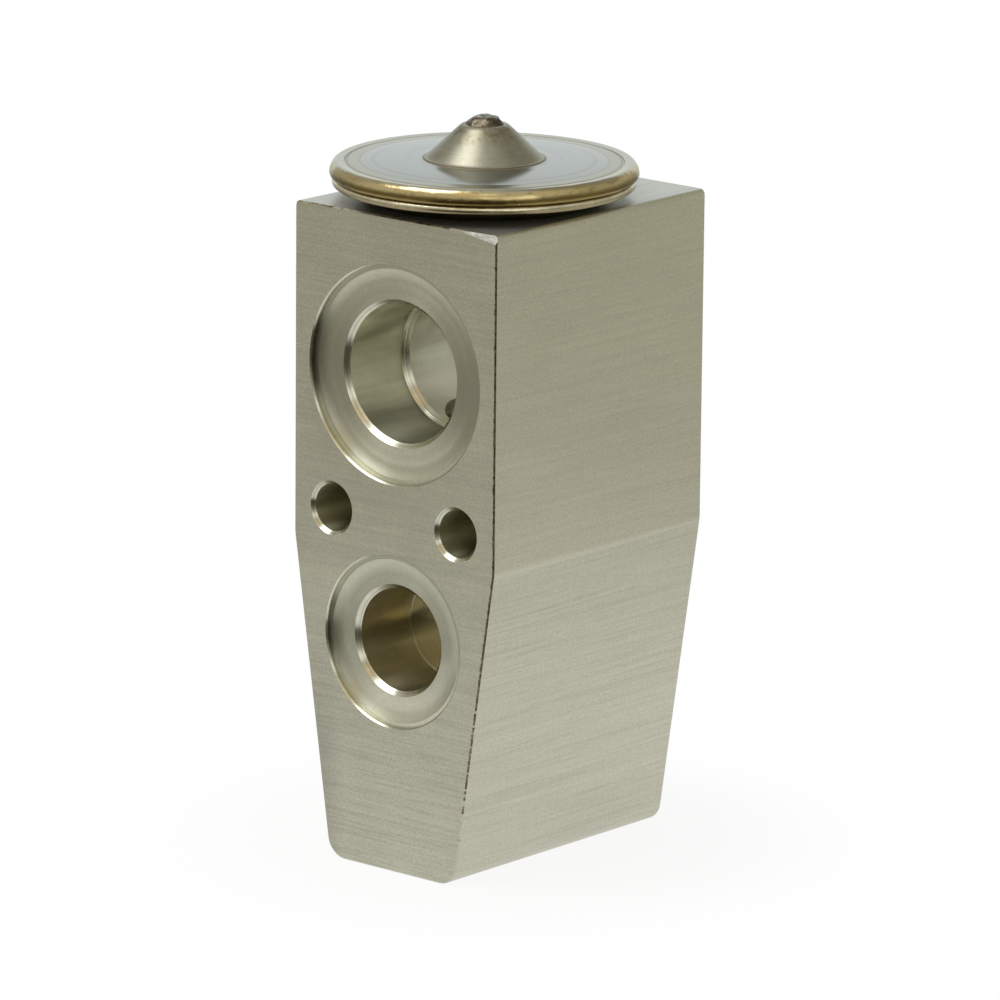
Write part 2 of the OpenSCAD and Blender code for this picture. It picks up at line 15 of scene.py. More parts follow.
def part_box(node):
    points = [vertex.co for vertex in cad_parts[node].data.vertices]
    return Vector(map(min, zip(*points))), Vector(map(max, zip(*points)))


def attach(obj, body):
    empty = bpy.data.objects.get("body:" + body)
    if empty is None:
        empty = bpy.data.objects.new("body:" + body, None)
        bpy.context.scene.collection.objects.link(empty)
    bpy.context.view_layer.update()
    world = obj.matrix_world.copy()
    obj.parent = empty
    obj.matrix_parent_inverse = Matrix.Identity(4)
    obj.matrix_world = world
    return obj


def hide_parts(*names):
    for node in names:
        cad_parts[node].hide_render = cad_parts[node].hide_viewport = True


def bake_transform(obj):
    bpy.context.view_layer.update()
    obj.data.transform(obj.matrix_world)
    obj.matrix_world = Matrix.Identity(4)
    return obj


bl_info = {
    "name": "Block expansion valve",
    "version": (1, 0, 0),
    "blender": (4, 5, 0),
    "location": "View3D > Sidebar > Valve",
    "description": "Makes the block, the head and the inner parts of a block expansion valve",
    "category": "Object",
}

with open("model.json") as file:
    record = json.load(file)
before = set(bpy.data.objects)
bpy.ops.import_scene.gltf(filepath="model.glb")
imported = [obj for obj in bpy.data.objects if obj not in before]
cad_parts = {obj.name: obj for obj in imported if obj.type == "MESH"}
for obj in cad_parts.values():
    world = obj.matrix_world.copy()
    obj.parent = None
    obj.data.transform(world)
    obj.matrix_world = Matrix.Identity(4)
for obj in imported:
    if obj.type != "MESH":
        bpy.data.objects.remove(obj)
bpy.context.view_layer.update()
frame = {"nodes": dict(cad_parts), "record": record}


def node_box(name):
    """Lowest and highest corner of a CAD node, in millimetres."""
    low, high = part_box(name)
    return low * 1000, high * 1000


def mount(name):
    """A mount of the packed record: its place in millimetres and its dimensions."""
    found = next(m for m in frame["record"]["mounts"] if m["name"] == name)
    return Vector(found["pos_m"]) * 1000, found["dims"]


BLOCK_LOW, BLOCK_HIGH = node_box("valve_body")
BLOCK_TOP = BLOCK_HIGH.z
BLOCK_DEPTH = BLOCK_HIGH.y - BLOCK_LOW.y


# Sizes and colours


def millimetres(name, description, default):
    """A length property in millimetres."""
    return FloatProperty(name=name, description=description, default=default, min=0.01, precision=3)


def facet_count(description, default):
    """A number of flat facets round a turned shape."""
    return IntProperty(name="Facets", description=description, default=default, min=24, max=384)


def colour(name, description, default):
    """A colour property, in linear light."""
    return FloatVectorProperty(
        name=name, description=description, default=default, size=3, subtype="COLOR", min=0, max=1
    )


class ValveBlockSizes(bpy.types.PropertyGroup):
    """Sizes of the aluminium block, in millimetres."""

    base_width: millimetres("Base width", "Width of the base between its corners", 22.6)
    crease_height: millimetres("Crease height", "Height where the sides begin to taper", 44.9)
    crease_radius: millimetres("Crease radius", "Radius that softens the crease", 6.0)
    base_radius: millimetres("Base edge radius", "Radius of the long edges of the base", 3.0)
    top_radius: millimetres("Top edge radius", "Radius of the long edges of the top", 0.8)
    edge_break: millimetres("Edge break", "Width of the deburred edge round each sawn face", 0.2)
    nick_length: millimetres("Nick length", "Length of the rubbed patch at the near top corner", 7.5)
    thread_pitch: millimetres("Thread pitch", "Pitch of the adjusting screw's thread", 1.0)


class ValvePortSizes(bpy.types.PropertyGroup):
    """Sizes of the turned ports and holes, in millimetres."""

    recess_chamfer: millimetres("Recess chamfer", "Chamfer where a recess meets the face", 0.22)
    suction_depth: millimetres("Suction recess depth", "Depth of the recess round a suction port", 1.3)
    liquid_depth: millimetres("Liquid recess depth", "Depth of the recess round a liquid port", 1.15)
    step_width: millimetres("Ring step width", "Width of the step at the foot of the recess wall", 0.6)
    step_height: millimetres("Ring step height", "Depth of that step above the floor", 0.1)
    dish_width: millimetres("Dish width", "Width of the dished part of a recess floor", 2.2)
    dish_height: millimetres("Dish height", "Rise of the dished floor towards its rim", 0.45)
    mouth_chamfer: millimetres("Mouth chamfer", "Chamfer at the mouth of each bore", 0.65)
    suction_bore_depth: millimetres("Suction bore depth", "Depth of a suction bore's shoulder", 12.3)
    suction_way_radius: millimetres("Suction way radius", "Radius of the gas passage", 8.75)
    inlet_bore_depth: millimetres("Inlet bore depth", "Depth of the inlet bore at its wall", 11.8)
    bottom_slope: FloatProperty(
        name="Bottom slope", description="Slope of the inlet bore's bottom", default=0.1, min=0
    )
    outlet_bore_depth: millimetres("Outlet bore depth", "Depth of the outlet bore", 12.4)
    bolt_chamfer: millimetres("Bolt chamfer", "Chamfer at each end of a bolt hole", 0.5)
    facets: facet_count("Facets round each port", 144)


class ValveHeadSizes(bpy.types.PropertyGroup):
    """Sizes of the head, in millimetres above the block's top or out from the axis."""

    cone_foot_radius: millimetres("Cone foot radius", "Radius of the cone at its foot", 7.7)
    cone_shoulder_radius: millimetres("Cone shoulder radius", "Radius of the cone's shoulder", 3.3)
    cone_rise: millimetres("Cone rise", "Height of the cone's shoulder", 10.3)
    cover_rise: millimetres("Cover rise", "Height of the cover's flat top", 5.45)
    cover_fall: millimetres("Cover fall", "Fall of the slightly domed top towards its rim", 0.34)
    cover_sheet: millimetres("Cover sheet", "Thickness of the cover's sheet", 0.95)
    ring_radius: millimetres("Ring radius", "Radius of the faint pressed ring on the cover", 16.9)
    step_radius: millimetres("Step radius", "Radius of the step inside the cover's rim", 19.0)
    rim_radius: millimetres("Rim radius", "Radius of the clamped rim", 20.0)
    rim_rise: millimetres("Rim rise", "Height of the rim's joint", 3.75)
    lip_radius: millimetres("Lip radius", "Radius of the rolled lip's section", 0.62)
    neck_radius: millimetres("Neck radius", "Radius of the threaded neck", 12.0)
    neck_length: millimetres("Neck length", "Length of the neck below the block's top", 8.2)
    neck_bore_radius: millimetres("Neck bore radius", "Radius of the bore through the neck", 9.4)
    plug_radius: millimetres("Plug radius", "Radius of the charge plug's head", 2.3)
    facets: facet_count("Facets round the head", 192)


class ValveColours(bpy.types.PropertyGroup):
    """Colours of the metals and the rubber."""

    aluminium: colour("Aluminium", "Sawn and drawn faces of the block", (0.495, 0.488, 0.395))
    turned: colour("Turned aluminium", "Bores and recesses", (0.53, 0.522, 0.42))
    # The colour of the painted shade along the near upright edge.
    edge_brown: colour("Edge brown", "Dark line on the near edge", (0.11, 0.08, 0.045))
    cover: colour("Cover steel", "Flat of the pressed cover", (0.345, 0.342, 0.312))
    cone: colour("Cone steel", "Satin cone of the cover", (0.375, 0.362, 0.285))
    gold: colour("Weld gold", "Heat-tinted weld bead", (0.58, 0.47, 0.24))
    lip: colour("Lip steel", "Rolled lip of the housing", (0.74, 0.68, 0.50))
    plug: colour("Plug metal", "Charge plug", (0.10, 0.085, 0.06))
    steel: colour("Bright steel", "Springs, rods and ball", (0.50, 0.50, 0.49))
    brass: colour("Brass", "Turned brass parts", (0.55, 0.40, 0.17))
    rubber: colour("Rubber", "Seal rings", (0.012, 0.014, 0.012))


def block_sizes():
    return bpy.context.scene.valve_block


def port_sizes():
    return bpy.context.scene.valve_ports


def head_sizes():
    return bpy.context.scene.valve_head


def colours():
    return bpy.context.scene.valve_colours


# Finishes


class NodeTree:
    """Short ways to add nodes to one tree."""

    def __init__(self, tree):
        self.nodes = tree.nodes
        self.links = tree.links

    def add(self, kind, **settings):
        made = self.nodes.new(kind)
        for name, value in settings.items():
            setattr(made, name, value)
        return made

    def put(self, socket, value):
        """Links an output to a socket, or sets a plain value on it. A colour comes without its alpha."""
        if hasattr(value, "is_output"):
            self.links.new(value, socket)
        else:
            socket.default_value = (*value, 1) if socket.type == "RGBA" else value

    def math(self, operation, a, b=0.0, clamp=False):
        made = self.add("ShaderNodeMath", operation=operation, use_clamp=clamp)
        self.put(made.inputs[0], a)
        self.put(made.inputs[1], b)
        return made.outputs[0]

    def times(self, product, *factors):
        """The product of some values."""
        for factor in factors:
            product = self.math("MULTIPLY", product, factor)
        return product

    def range(self, value, low, high, to_low=0.0, to_high=1.0, soft=True):
        """Maps a value from one range to another, clamped."""
        made = self.add("ShaderNodeMapRange", interpolation_type="SMOOTHSTEP" if soft else "LINEAR")
        for socket, given in zip(made.inputs[:5], (value, low, high, to_low, to_high)):
            self.put(socket, given)
        return made.outputs[0]

    def mix(self, factor, below, above, **settings):
        """Goes from one colour to another as factor goes from 0 to 1."""
        made = self.add("ShaderNodeMix", data_type="RGBA", **settings)
        for name, value in (("Factor", factor), ("A", below), ("B", above)):
            self.put(made.inputs[name], value)
        return made.outputs["Result"]

    def along(self, place, toward):
        """How far a place agrees with a direction: 1 where both unit vectors are the same."""
        made = self.add("ShaderNodeVectorMath", operation="DOT_PRODUCT")
        self.put(made.inputs[0], place)
        self.put(made.inputs[1], toward)
        return made.outputs["Value"]


class Finish(NodeTree):
    """One procedural material, whose patterns are built on Object coordinates in millimetres."""

    def __init__(self, name, base, metallic, roughness):
        self.material = bpy.data.materials.new(name)
        self.material.use_nodes = True
        super().__init__(self.material.node_tree)
        self.shader = self.nodes["Principled BSDF"]
        self.put(self.shader.inputs["Metallic"], metallic)
        self.put(self.shader.inputs["Roughness"], roughness)
        self.colour = base
        self.height = None
        self.place = self.add("ShaderNodeTexCoord").outputs["Object"]

    def texture(self, kind, scale, shift=(0, 0, 0)):
        """A texture stretched by a scale along each axis, in periods per millimetre."""
        mapping = self.add("ShaderNodeMapping")
        self.put(mapping.inputs["Vector"], self.place)
        self.put(mapping.inputs["Scale"], [s * 1000 for s in scale])
        self.put(mapping.inputs["Location"], shift)
        made = self.add(kind)
        self.put(made.inputs["Vector"], mapping.outputs[0])
        self.put(made.inputs["Scale"], 1)
        return made

    def noise(self, scale, detail=3.0, roughness=0.6, shift=(0, 0, 0)):
        """Noise stretched by a scale along each axis, in periods per millimetre."""
        made = self.texture("ShaderNodeTexNoise", scale, shift)
        self.put(made.inputs["Detail"], detail)
        self.put(made.inputs["Roughness"], roughness)
        return made.outputs["Fac"]

    def rings(self, distance, per_mm, detail=2.0):
        """Noise that changes only with one distance, for turned rings and grooves."""
        made = self.add("ShaderNodeTexNoise", noise_dimensions="1D")
        self.put(made.inputs["W"], self.times(distance, per_mm))
        self.put(made.inputs["Scale"], 1)
        self.put(made.inputs["Detail"], detail)
        return made.outputs["Fac"]

    def spots(self, per_mm, size, share):
        """A mask of small round spots on a grid of cells, of which only a share carries one."""
        made = self.texture("ShaderNodeTexVoronoi", (per_mm,) * 3)
        near = self.range(made.outputs["Distance"], size, size * 0.4)
        split = self.add("ShaderNodeSeparateColor")
        self.put(split.inputs[0], made.outputs["Color"])
        return self.times(near, self.math("LESS_THAN", split.outputs[0], share))

    def axis_value(self, axis):
        """One coordinate, in millimetres."""
        split = self.add("ShaderNodeSeparateXYZ")
        self.put(split.inputs[0], self.place)
        return self.times(split.outputs["XYZ".index(axis)], 1000)

    def offsets(self, centre, across):
        """Distances from an axis through centre along the two named directions, in millimetres."""
        return [self.math("SUBTRACT", self.axis_value(axis), middle) for axis, middle in zip(across, centre)]

    def radius(self, centre, across):
        """Distance from an axis through centre, measured in the two named directions."""
        squares = [self.times(offset, offset) for offset in self.offsets(centre, across)]
        return self.math("SQRT", self.math("ADD", *squares))

    def outwards(self, centre, across):
        """The direction away from an axis through centre."""
        made = self.add("ShaderNodeCombineXYZ")
        for axis, offset in zip(across, self.offsets(centre, across)):
            self.put(made.inputs["XYZ".index(axis)], offset)
        unit = self.add("ShaderNodeVectorMath", operation="NORMALIZE")
        self.put(unit.inputs[0], made.outputs[0])
        return unit.outputs[0]

    def facing(self, centre, across, direction):
        """How far the direction away from an axis agrees with a given one, 1 where they are the same."""
        return self.along(self.outwards(centre, across), Vector(direction).normalized())

    def towards(self, axis):
        """A constant direction along one axis."""
        made = self.add("ShaderNodeCombineXYZ")
        self.put(made.inputs["XYZ".index(axis)], 1)
        return made.outputs[0]

    def tint(self, shade, *factors):
        """Mixes another colour in, in full where the product of the factors is 1."""
        self.colour = self.mix(self.times(*factors), self.colour, shade)
        return self

    def scaled(self, by, *factors):
        """Multiplies the colour so far, in full where the product of the factors is 1."""
        factor = self.times(*factors)
        self.colour = self.mix(factor, self.colour, (by,) * 3, blend_type="MULTIPLY", clamp_result=False)
        return self

    def darken(self, *factors):
        """Takes a share of the colour away, as large as the product of the factors."""
        return self.scaled(0, *factors)

    def lighten(self, *factors):
        """Adds a share of the colour to it, as large as the product of the factors."""
        return self.scaled(2, *factors)

    def vary(self, pattern, depth, reach=0.25):
        """Darkens and lightens the colour by depth as a pattern moves from 0.5 by reach each way."""
        self.darken(self.range(pattern, 0.5, 0.5 - reach, 0, depth))
        return self.lighten(self.range(pattern, 0.5, 0.5 + reach, 0, depth))

    def relief(self, pattern, height):
        """Adds to the surface's relief, in millimetres."""
        part = self.times(pattern, height)
        self.height = part if self.height is None else self.math("ADD", self.height, part)
        return self

    def mark(self, pattern, depth, height, reach=0.25):
        """Varies the colour and the relief with one pattern."""
        return self.vary(pattern, depth, reach).relief(pattern, height)

    def line(self, distance, at, width, depth, shade):
        """Tints a thin line at one distance from the axis."""
        off = self.math("ABSOLUTE", self.math("SUBTRACT", distance, at))
        return self.tint(shade, self.range(off, width, width * 0.3), depth)

    def shine(self, pattern, low, high):
        """Roughness that follows a pattern."""
        self.put(self.shader.inputs["Roughness"], self.range(pattern, 0.25, 0.75, low, high, False))
        return self

    def brushed(self, amount, spread):
        """Spreads highlights in one direction, across the tool marks."""
        self.put(self.shader.inputs["Anisotropic"], amount)
        self.put(self.shader.inputs["Tangent"], spread)
        return self

    def done(self):
        self.put(self.shader.inputs["Base Color"], self.colour)
        if self.height is not None:
            bump = self.add("ShaderNodeBump")
            self.put(bump.inputs["Strength"], 1)
            self.put(bump.inputs["Distance"], 0.001)
            self.put(bump.inputs["Height"], self.height)
            self.put(self.shader.inputs["Normal"], bump.outputs[0])
        return self.material


def sawn_finish():
    """Sawn and milled face: fine level cutter marks, stronger low on the face, with painted shade low down
    and more of it low on the left.
    """
    made = Finish("Sawn aluminium", [c * 1.12 for c in colours().aluminium], 1, 0.4)
    marks = made.noise((0.07, 0.07, 3.0), 3, 0.8)
    coarse = made.noise((0.02, 0.02, 0.8), 3, 0.7, (3, 1, 2))
    speckle = made.noise((3.4, 3.4, 4.0), 2, 0.9, (5, 2, 1))
    cloud = made.noise((0.05,) * 3)
    up = made.axis_value("Z")
    low = made.range(up, 38, 10)
    left = made.range(made.axis_value("X"), -8, -13)
    depth = made.math("ADD", made.times(low, 0.8), 0.4)
    made.vary(marks, 0.05, 0.12).relief(made.times(marks, depth), 0.008)
    made.mark(coarse, 0.03, 0.003, 0.15).mark(speckle, 0.09, 0.004, 0.1).vary(cloud, 0.04, 0.15)
    # The darker streaks follow the cutter marks; the face is also darkened as painted shade low down, and
    # more low on the left.
    made.darken(made.range(marks, 0.52, 0.36), low, 0.07).darken(low, 0.14).darken(low, left, 0.2)
    # Painted shade: a dark brown line along the near upright edge.
    made.tint(colours().edge_brown, near_edge_painted_shade(made, up))
    pits = made.spots(0.11, 0.035, 0.35)
    made.tint((0.05, 0.045, 0.03), pits).relief(pits, -0.05).shine(cloud, 0.38, 0.43)
    return made.brushed(0.5, made.towards("Z")).done()


def near_edge_painted_shade(made, up):
    """A ragged line of painted shade along the near upright edge of the pipe face, in dashes low down."""
    s = block_sizes()
    slope = (BLOCK_HIGH.x - s.base_width / 2) / s.crease_height
    edge = made.math("MINIMUM", made.math("ADD", made.times(up, slope), s.base_width / 2), BLOCK_HIGH.x)
    inwards = made.math("SUBTRACT", edge, made.axis_value("X"))
    ragged = made.noise((0.01, 0.01, 1.7), 3, 0.7, (1, 4, 2))
    reach = made.range(ragged, 0.4, 0.65, 0.14, 0.42)
    line = made.range(inwards, reach, made.times(reach, 0.5))
    return made.times(line, dashes(made, up), made.math("LESS_THAN", made.axis_value("Y"), 0))


def dashes(made, up):
    """A line that is whole high up and breaks into dashes towards the foot."""
    broken = made.noise((0.01, 0.01, 1.4), 2, 0.6, (3, 3, 5))
    return made.range(made.math("ADD", broken, made.times(made.range(up, 1, 36), 0.3)), 0.57, 0.65)


def drawn_finish():
    """Extruded side: long streaks along the block, clearer on the tapered part, which is darkened as painted
    shade.
    """
    made = Finish("Drawn aluminium", [c * 1.35 for c in colours().aluminium], 1, 0.4)
    streaks = made.noise((2.2, 0.035, 2.6), 4, 0.8)
    bands = made.noise((0.28, 0.006, 0.28), 3, 0.6, (5, 2, 7))
    speckle = made.noise((3.4, 3.4, 4.0), 2, 0.9, (5, 2, 1))
    cloud = made.noise((0.03, 0.02, 0.05), 3)
    taper = made.range(made.axis_value("Z"), 46, 43)
    depth = made.math("ADD", made.times(taper, 0.6), 0.25)
    made.vary(streaks, 0.035, 0.12).relief(made.times(streaks, depth), 0.008)
    made.relief(bands, 0.004).mark(speckle, 0.08, 0.003, 0.1).vary(cloud, 0.03, 0.15)
    # Darker streaks on the taper follow the marks; the whole taper is also darkened as painted shade.
    made.darken(made.range(streaks, 0.5, 0.38), made.range(taper, 0, 1, 0.01, 0.06)).darken(taper, 0.19)
    made.lighten(made.range(bands, 0.52, 0.75), made.range(taper, 0, 1, 0.02, 0.06))
    made.tint((0.06, 0.05, 0.035), made.spots(0.09, 0.03, 0.3)).shine(cloud, 0.37, 0.44)
    return made.brushed(0.5, made.towards("Z")).done()


def level_finish():
    """Top and base of the block: smooth drawn metal, brighter and cooler."""
    made = Finish("Level aluminium", (0.56, 0.565, 0.51), 0.85, 0.4)
    streaks = made.noise((1.5, 0.03, 1.5), 4, 0.8)
    speckle = made.noise((1.6,) * 3, 3, 0.9)
    made.mark(streaks, 0.08, 0.003, 0.14).mark(speckle, 0.08, 0.003, 0.14)
    return made.shine(speckle, 0.34, 0.42).done()


def edge_finish():
    """Deburred edge: a brown, spotted line of painted shade on the near upright edge, painted shade with
    dark brown dots along the top, dull elsewhere.
    """
    made = Finish("Deburred edge", colours().aluminium, 1, 0.42)
    up = made.axis_value("Z")
    spots = made.noise((0.5, 0.5, 1.1), 4, 0.8)
    near = made.range(made.axis_value("X"), 11.0, 12.0)
    front = made.math("LESS_THAN", made.axis_value("Y"), 0)
    upright = made.math("LESS_THAN", up, BLOCK_TOP - 0.6)
    mask = made.times(near, dashes(made, up), front, upright)
    top = made.range(up, BLOCK_TOP - 0.6, BLOCK_TOP - 0.3)
    # Painted shade on the near upright edge, browner in spots.
    made.tint((0.25, 0.22, 0.15), mask)
    made.tint(colours().edge_brown, mask, made.range(spots, 0.48, 0.54), 0.9)
    # Painted shade along the top edge under the head, with dark brown dots.
    made.tint((0.17, 0.14, 0.09), top, 0.6)
    made.tint((0.07, 0.05, 0.03), top, made.range(spots, 0.5, 0.56), 0.9)
    return made.relief(spots, 0.05).done()


def nick_finish():
    """Rubbed bright metal with a few glints."""
    made = Finish("Rubbed edge", (0.62, 0.63, 0.58), 1, 0.36)
    scuff = made.noise((1.2, 1.2, 2.4), 4, 0.7)
    return made.mark(scuff, 0.3, 0.05, 0.2).shine(scuff, 0.26, 0.44).done()


def recess_finish(name, height, radius):
    """Face-turned recess floor: rings round the port's axis, a painted highlight low down, painted shade at
    the left of its dish and step, and a painted pale and gold reflection on the lower left of its dish.
    """
    made = Finish(name, colours().turned, 1, 0.36)
    centre = (0, height)
    distance = made.radius(centre, "XZ")
    fine = made.rings(distance, 6, 3)
    wide = made.rings(distance, 1.1, 2)
    speckle = made.noise((1.6,) * 3, 3, 0.9)
    made.mark(fine, 0.05, 0.0012).mark(wide, 0.04, 0.001).mark(speckle, 0.05, 0.002, 0.14)
    # Painted highlight: the floor is made lighter low down.
    made.lighten(made.range(made.axis_value("Z"), height - radius * 0.35, height - radius * 0.8), 0.3)
    dish = made.range(distance, radius - 2.6, radius - 1.0)
    step = made.range(distance, radius - 0.65, radius - 0.55)
    left = made.facing(centre, "XZ", (-1, 0, 0.08))
    level_left = made.facing(centre, "XZ", (-1, 0, 0.05))
    lower_left = made.facing(centre, "XZ", (-0.68, 0, -0.73))
    # Painted shade at the left of the dish and of the step; painted pale and gold reflection at the lower
    # left of the dish.
    made.tint((0.16, 0.155, 0.12), dish, made.range(left, 0.86, 0.99), 0.3)
    made.tint((0.12, 0.115, 0.09), step, made.range(level_left, 0.91, 0.98), 0.7)
    made.tint((0.8, 0.8, 0.7), dish, made.range(lower_left, 0.9, 0.98), 0.3)
    made.tint((0.62, 0.55, 0.33), dish, made.range(lower_left, 0.985, 0.999), 0.45)
    return made.shine(wide, 0.33, 0.38).brushed(0.85, made.outwards(centre, "XZ")).done()


def edge_turned_finish():
    """Bright chamfers and steps left by the port's form tool."""
    made = Finish("Turned edge", colours().turned, 1, 0.2)
    grooves = made.rings(made.axis_value("Y"), 5, 3)
    cloud = made.noise((0.4,) * 3)
    return made.mark(grooves, 0.2, 0.01, 0.2).mark(cloud, 0.12, 0.012, 0.2).shine(cloud, 0.15, 0.26).done()


def bore_finish(name, shade, roughness, axis="Y", metal=1.0, middle=None):
    """Bored wall: fine grooves round the bore, streaks along it, and painted shade on its foot below its
    middle.
    """
    made = Finish(name, shade, metal, roughness)
    grooves = made.rings(made.axis_value(axis), 5, 3)
    cloud = made.noise((0.16,) * 3)
    streaks = made.noise([0.02 if letter == axis else 0.4 for letter in "XYZ"], 3, 0.6, (2, 1, 4))
    made.mark(grooves, 0.05, 0.0015).mark(cloud, 0.08, 0.004).mark(streaks, 0.12, 0.01, 0.2)
    if middle is not None:
        # Painted shade: the wall is darker below the bore's middle.
        made.darken(made.range(made.axis_value("Z"), middle - 4.5, middle - 8), 0.4)
    return made.brushed(0.92, made.towards(axis)).done()


def bottom_finish(height):
    """Turned bottom of the inlet bore, darkened as painted shade, with light that runs out from its middle.
    """
    made = Finish("Bore bottom", (0.40, 0.355, 0.215), 1, 0.26)
    centre = (0, height)
    rings = made.rings(made.radius(centre, "XZ"), 5, 3)
    return made.mark(rings, 0.15, 0.003, 0.2).brushed(0.9, made.outwards(centre, "XZ")).done()


def cover_finish():
    """Bright pressed sheet with faint rings and scratches, brown lines where the tool's rings are, and a
    pale olive rim that also carries a painted highlight.
    """
    s = head_sizes()
    ring, step = s.ring_radius, s.step_radius
    made = Finish("Pressed cover", colours().cover, 1, 0.15)
    distance = made.radius((0, 0), "XY")
    fine = made.rings(distance, 2.2, 3)
    cloud = made.noise((0.12,) * 3, 4)
    scuffs = made.noise((0.9, 0.12, 0.5), 4, 0.7)
    made.mark(fine, 0.06, 0.0014).mark(cloud, 0.05, 0.006)
    made.tint((0.25, 0.22, 0.15), made.range(scuffs, 0.6, 0.75), 0.3)
    made.tint((0.22, 0.2, 0.15), made.range(made.rings(distance, 0.9, 3), 0.56, 0.66), 0.3)
    made.tint((0.33, 0.30, 0.20), made.range(distance, ring - 0.05, ring + 0.15), 0.85)
    made.line(distance, ring, 0.18, 0.45, (0.17, 0.12, 0.06))
    made.line(distance, step - 0.3, 0.25, 0.85, (0.14, 0.10, 0.045))
    # The rim's pale olive tint also stands in for the cream highlight along the step's edge, as a painted
    # highlight.
    made.tint((0.42, 0.38, 0.24), made.range(distance, step - 0.15, step))
    return made.shine(cloud, 0.12, 0.19).done()


def cone_finish():
    """Satin drawn cone: soft turning marks, rusty blotches at the shoulder and a brown line at its foot."""
    s = head_sizes()
    made = Finish("Satin cone", colours().cone, 1, 0.3)
    height = made.axis_value("Z")
    marks = made.rings(height, 4, 3)
    cloud = made.noise((0.3,) * 3, 4)
    speckle = made.noise((2.2,) * 3, 3, 0.7)
    made.mark(marks, 0.05, 0.003).mark(cloud, 0.1, 0.02).mark(speckle, 0.12, 0.008)
    shoulder = made.range(height, BLOCK_TOP + s.cone_rise - 3.1, BLOCK_TOP + s.cone_rise - 0.5)
    blotches = made.noise((1.0,) * 3, 3, 0.7, (2, 6, 1))
    made.tint((0.20, 0.135, 0.065), made.range(blotches, 0.48, 0.62), shoulder, 0.6)
    made.tint((0.24, 0.20, 0.12), shoulder, 0.25)
    made.line(made.radius((0, 0), "XY"), s.cone_foot_radius + 0.58, 0.16, 0.85, (0.15, 0.10, 0.045))
    return made.shine(cloud, 0.38, 0.45).brushed(0.35, made.towards("Z")).done()


def weld_finish():
    """Heat-tinted bead: pale steel on top, gold round the outside, olive and brown below, where painted
    shade darkens it further.
    """
    made = Finish("Weld gold", (0.46, 0.44, 0.34), 1, 0.2)
    drift = made.noise((0.09, 0.09, 0.3), 3)
    fine = made.noise((0.5, 0.5, 1.5), 4, 0.7)
    ripple = made.noise((0.6, 0.6, 0.9), 4)
    wander = made.math("ADD", made.axis_value("Z"), made.times(made.math("SUBTRACT", drift, 0.5), 0.9))
    gold = made.range(wander, BLOCK_TOP + 5.25, BLOCK_TOP + 4.75)
    low = made.range(wander, BLOCK_TOP + 4.4, BLOCK_TOP + 3.75)
    pits = made.times(made.spots(0.7, 0.2, 0.25), made.range(fine, 0.42, 0.52))
    made.tint(colours().gold, gold).tint((0.36, 0.30, 0.14), gold, made.range(fine, 0.5, 0.7))
    # The dark olive-brown lower band is heat tint and also painted shade under the bead.
    made.tint((0.17, 0.12, 0.03), low, 0.85)
    made.tint((0.04, 0.025, 0.012), pits, 0.85).tint((0.8, 0.7, 0.5), made.spots(1.3, 0.2, 0.08))
    made.relief(ripple, 0.04).relief(fine, 0.006).relief(pits, -0.04)
    return made.shine(drift, 0.16, 0.24).done()


def lip_finish():
    """Rolled lip: pale, slightly pink, with rubbed patches and an olive underside painted as shade."""
    made = Finish("Rolled lip", colours().lip, 1, 0.22)
    patches = made.noise((0.2, 0.2, 0.3), 4)
    fine = made.noise((1.2,) * 3, 3, 0.7)
    low = made.range(made.axis_value("Z"), BLOCK_TOP + 2.55, BLOCK_TOP + 2.1)
    made.mark(patches, 0.2, 0.03, 0.18).mark(fine, 0.15, 0.008, 0.18)
    # The brown patches are rubbed wear; the olive underside is painted shade.
    made.tint((0.38, 0.28, 0.13), made.range(patches, 0.6, 0.7)).tint((0.19, 0.145, 0.06), low, 0.85)
    return made.shine(patches, 0.18, 0.3).done()


def plug_finish():
    """Cropped and fused plug: dark, glossy and pitted, with pale painted highlights and coppery patches."""
    made = Finish("Charge plug metal", colours().plug, 1, 0.26)
    lumps = made.noise((0.9,) * 3, 4)
    glints = made.noise((1.6,) * 3, 3, 0.6, (4, 4, 1))
    foot = made.range(made.axis_value("Z"), BLOCK_TOP + 10.75, BLOCK_TOP + 10.4)
    made.tint((0.25, 0.22, 0.16), made.range(lumps, 0.5, 0.66))
    # Painted highlights: pale glints tinted into the colour; the coppery tint below is the metal's own
    # colour.
    made.tint((0.72, 0.74, 0.68), made.range(glints, 0.6, 0.68))
    made.tint((0.30, 0.15, 0.075), made.range(glints, 0.4, 0.32), 0.7)
    made.tint((0.13, 0.11, 0.075), foot, 0.5)
    return made.relief(lumps, 0.15).relief(glints, 0.1).shine(lumps, 0.18, 0.36).done()


def turned_finish(name, shade, roughness, per_mm=5):
    """Metal turned about the valve axis: rings on its ends and grooves round its sides."""
    made = Finish(name, shade, 1, roughness)
    across = made.rings(made.radius((0, 0), "XY"), per_mm, 3)
    along = made.rings(made.axis_value("Z"), per_mm, 3)
    cloud = made.noise((0.3,) * 3)
    made.mark(made.times(made.math("ADD", across, along), 0.5), 0.1, 0.003).vary(cloud, 0.08)
    return made.shine(cloud, roughness * 0.85, roughness * 1.2).done()


def wire_finish():
    """Drawn spring wire with a faint oily tone."""
    made = Finish("Spring wire", [c * 0.7 for c in colours().steel], 1, 0.3)
    streaks = made.noise((1.5, 1.5, 6), 3)
    return made.mark(streaks, 0.15, 0.004).shine(streaks, 0.24, 0.36).done()


def rubber_finish():
    """Black moulded rubber with a fine mould texture."""
    made = Finish("Seal rubber", colours().rubber, 0, 0.5)
    grain = made.noise((2.5,) * 3)
    return made.mark(grain, 0.3, 0.006).shine(grain, 0.42, 0.58).done()


# Shapes

OVER = 1  # how far a cutter stands past the face that it cuts


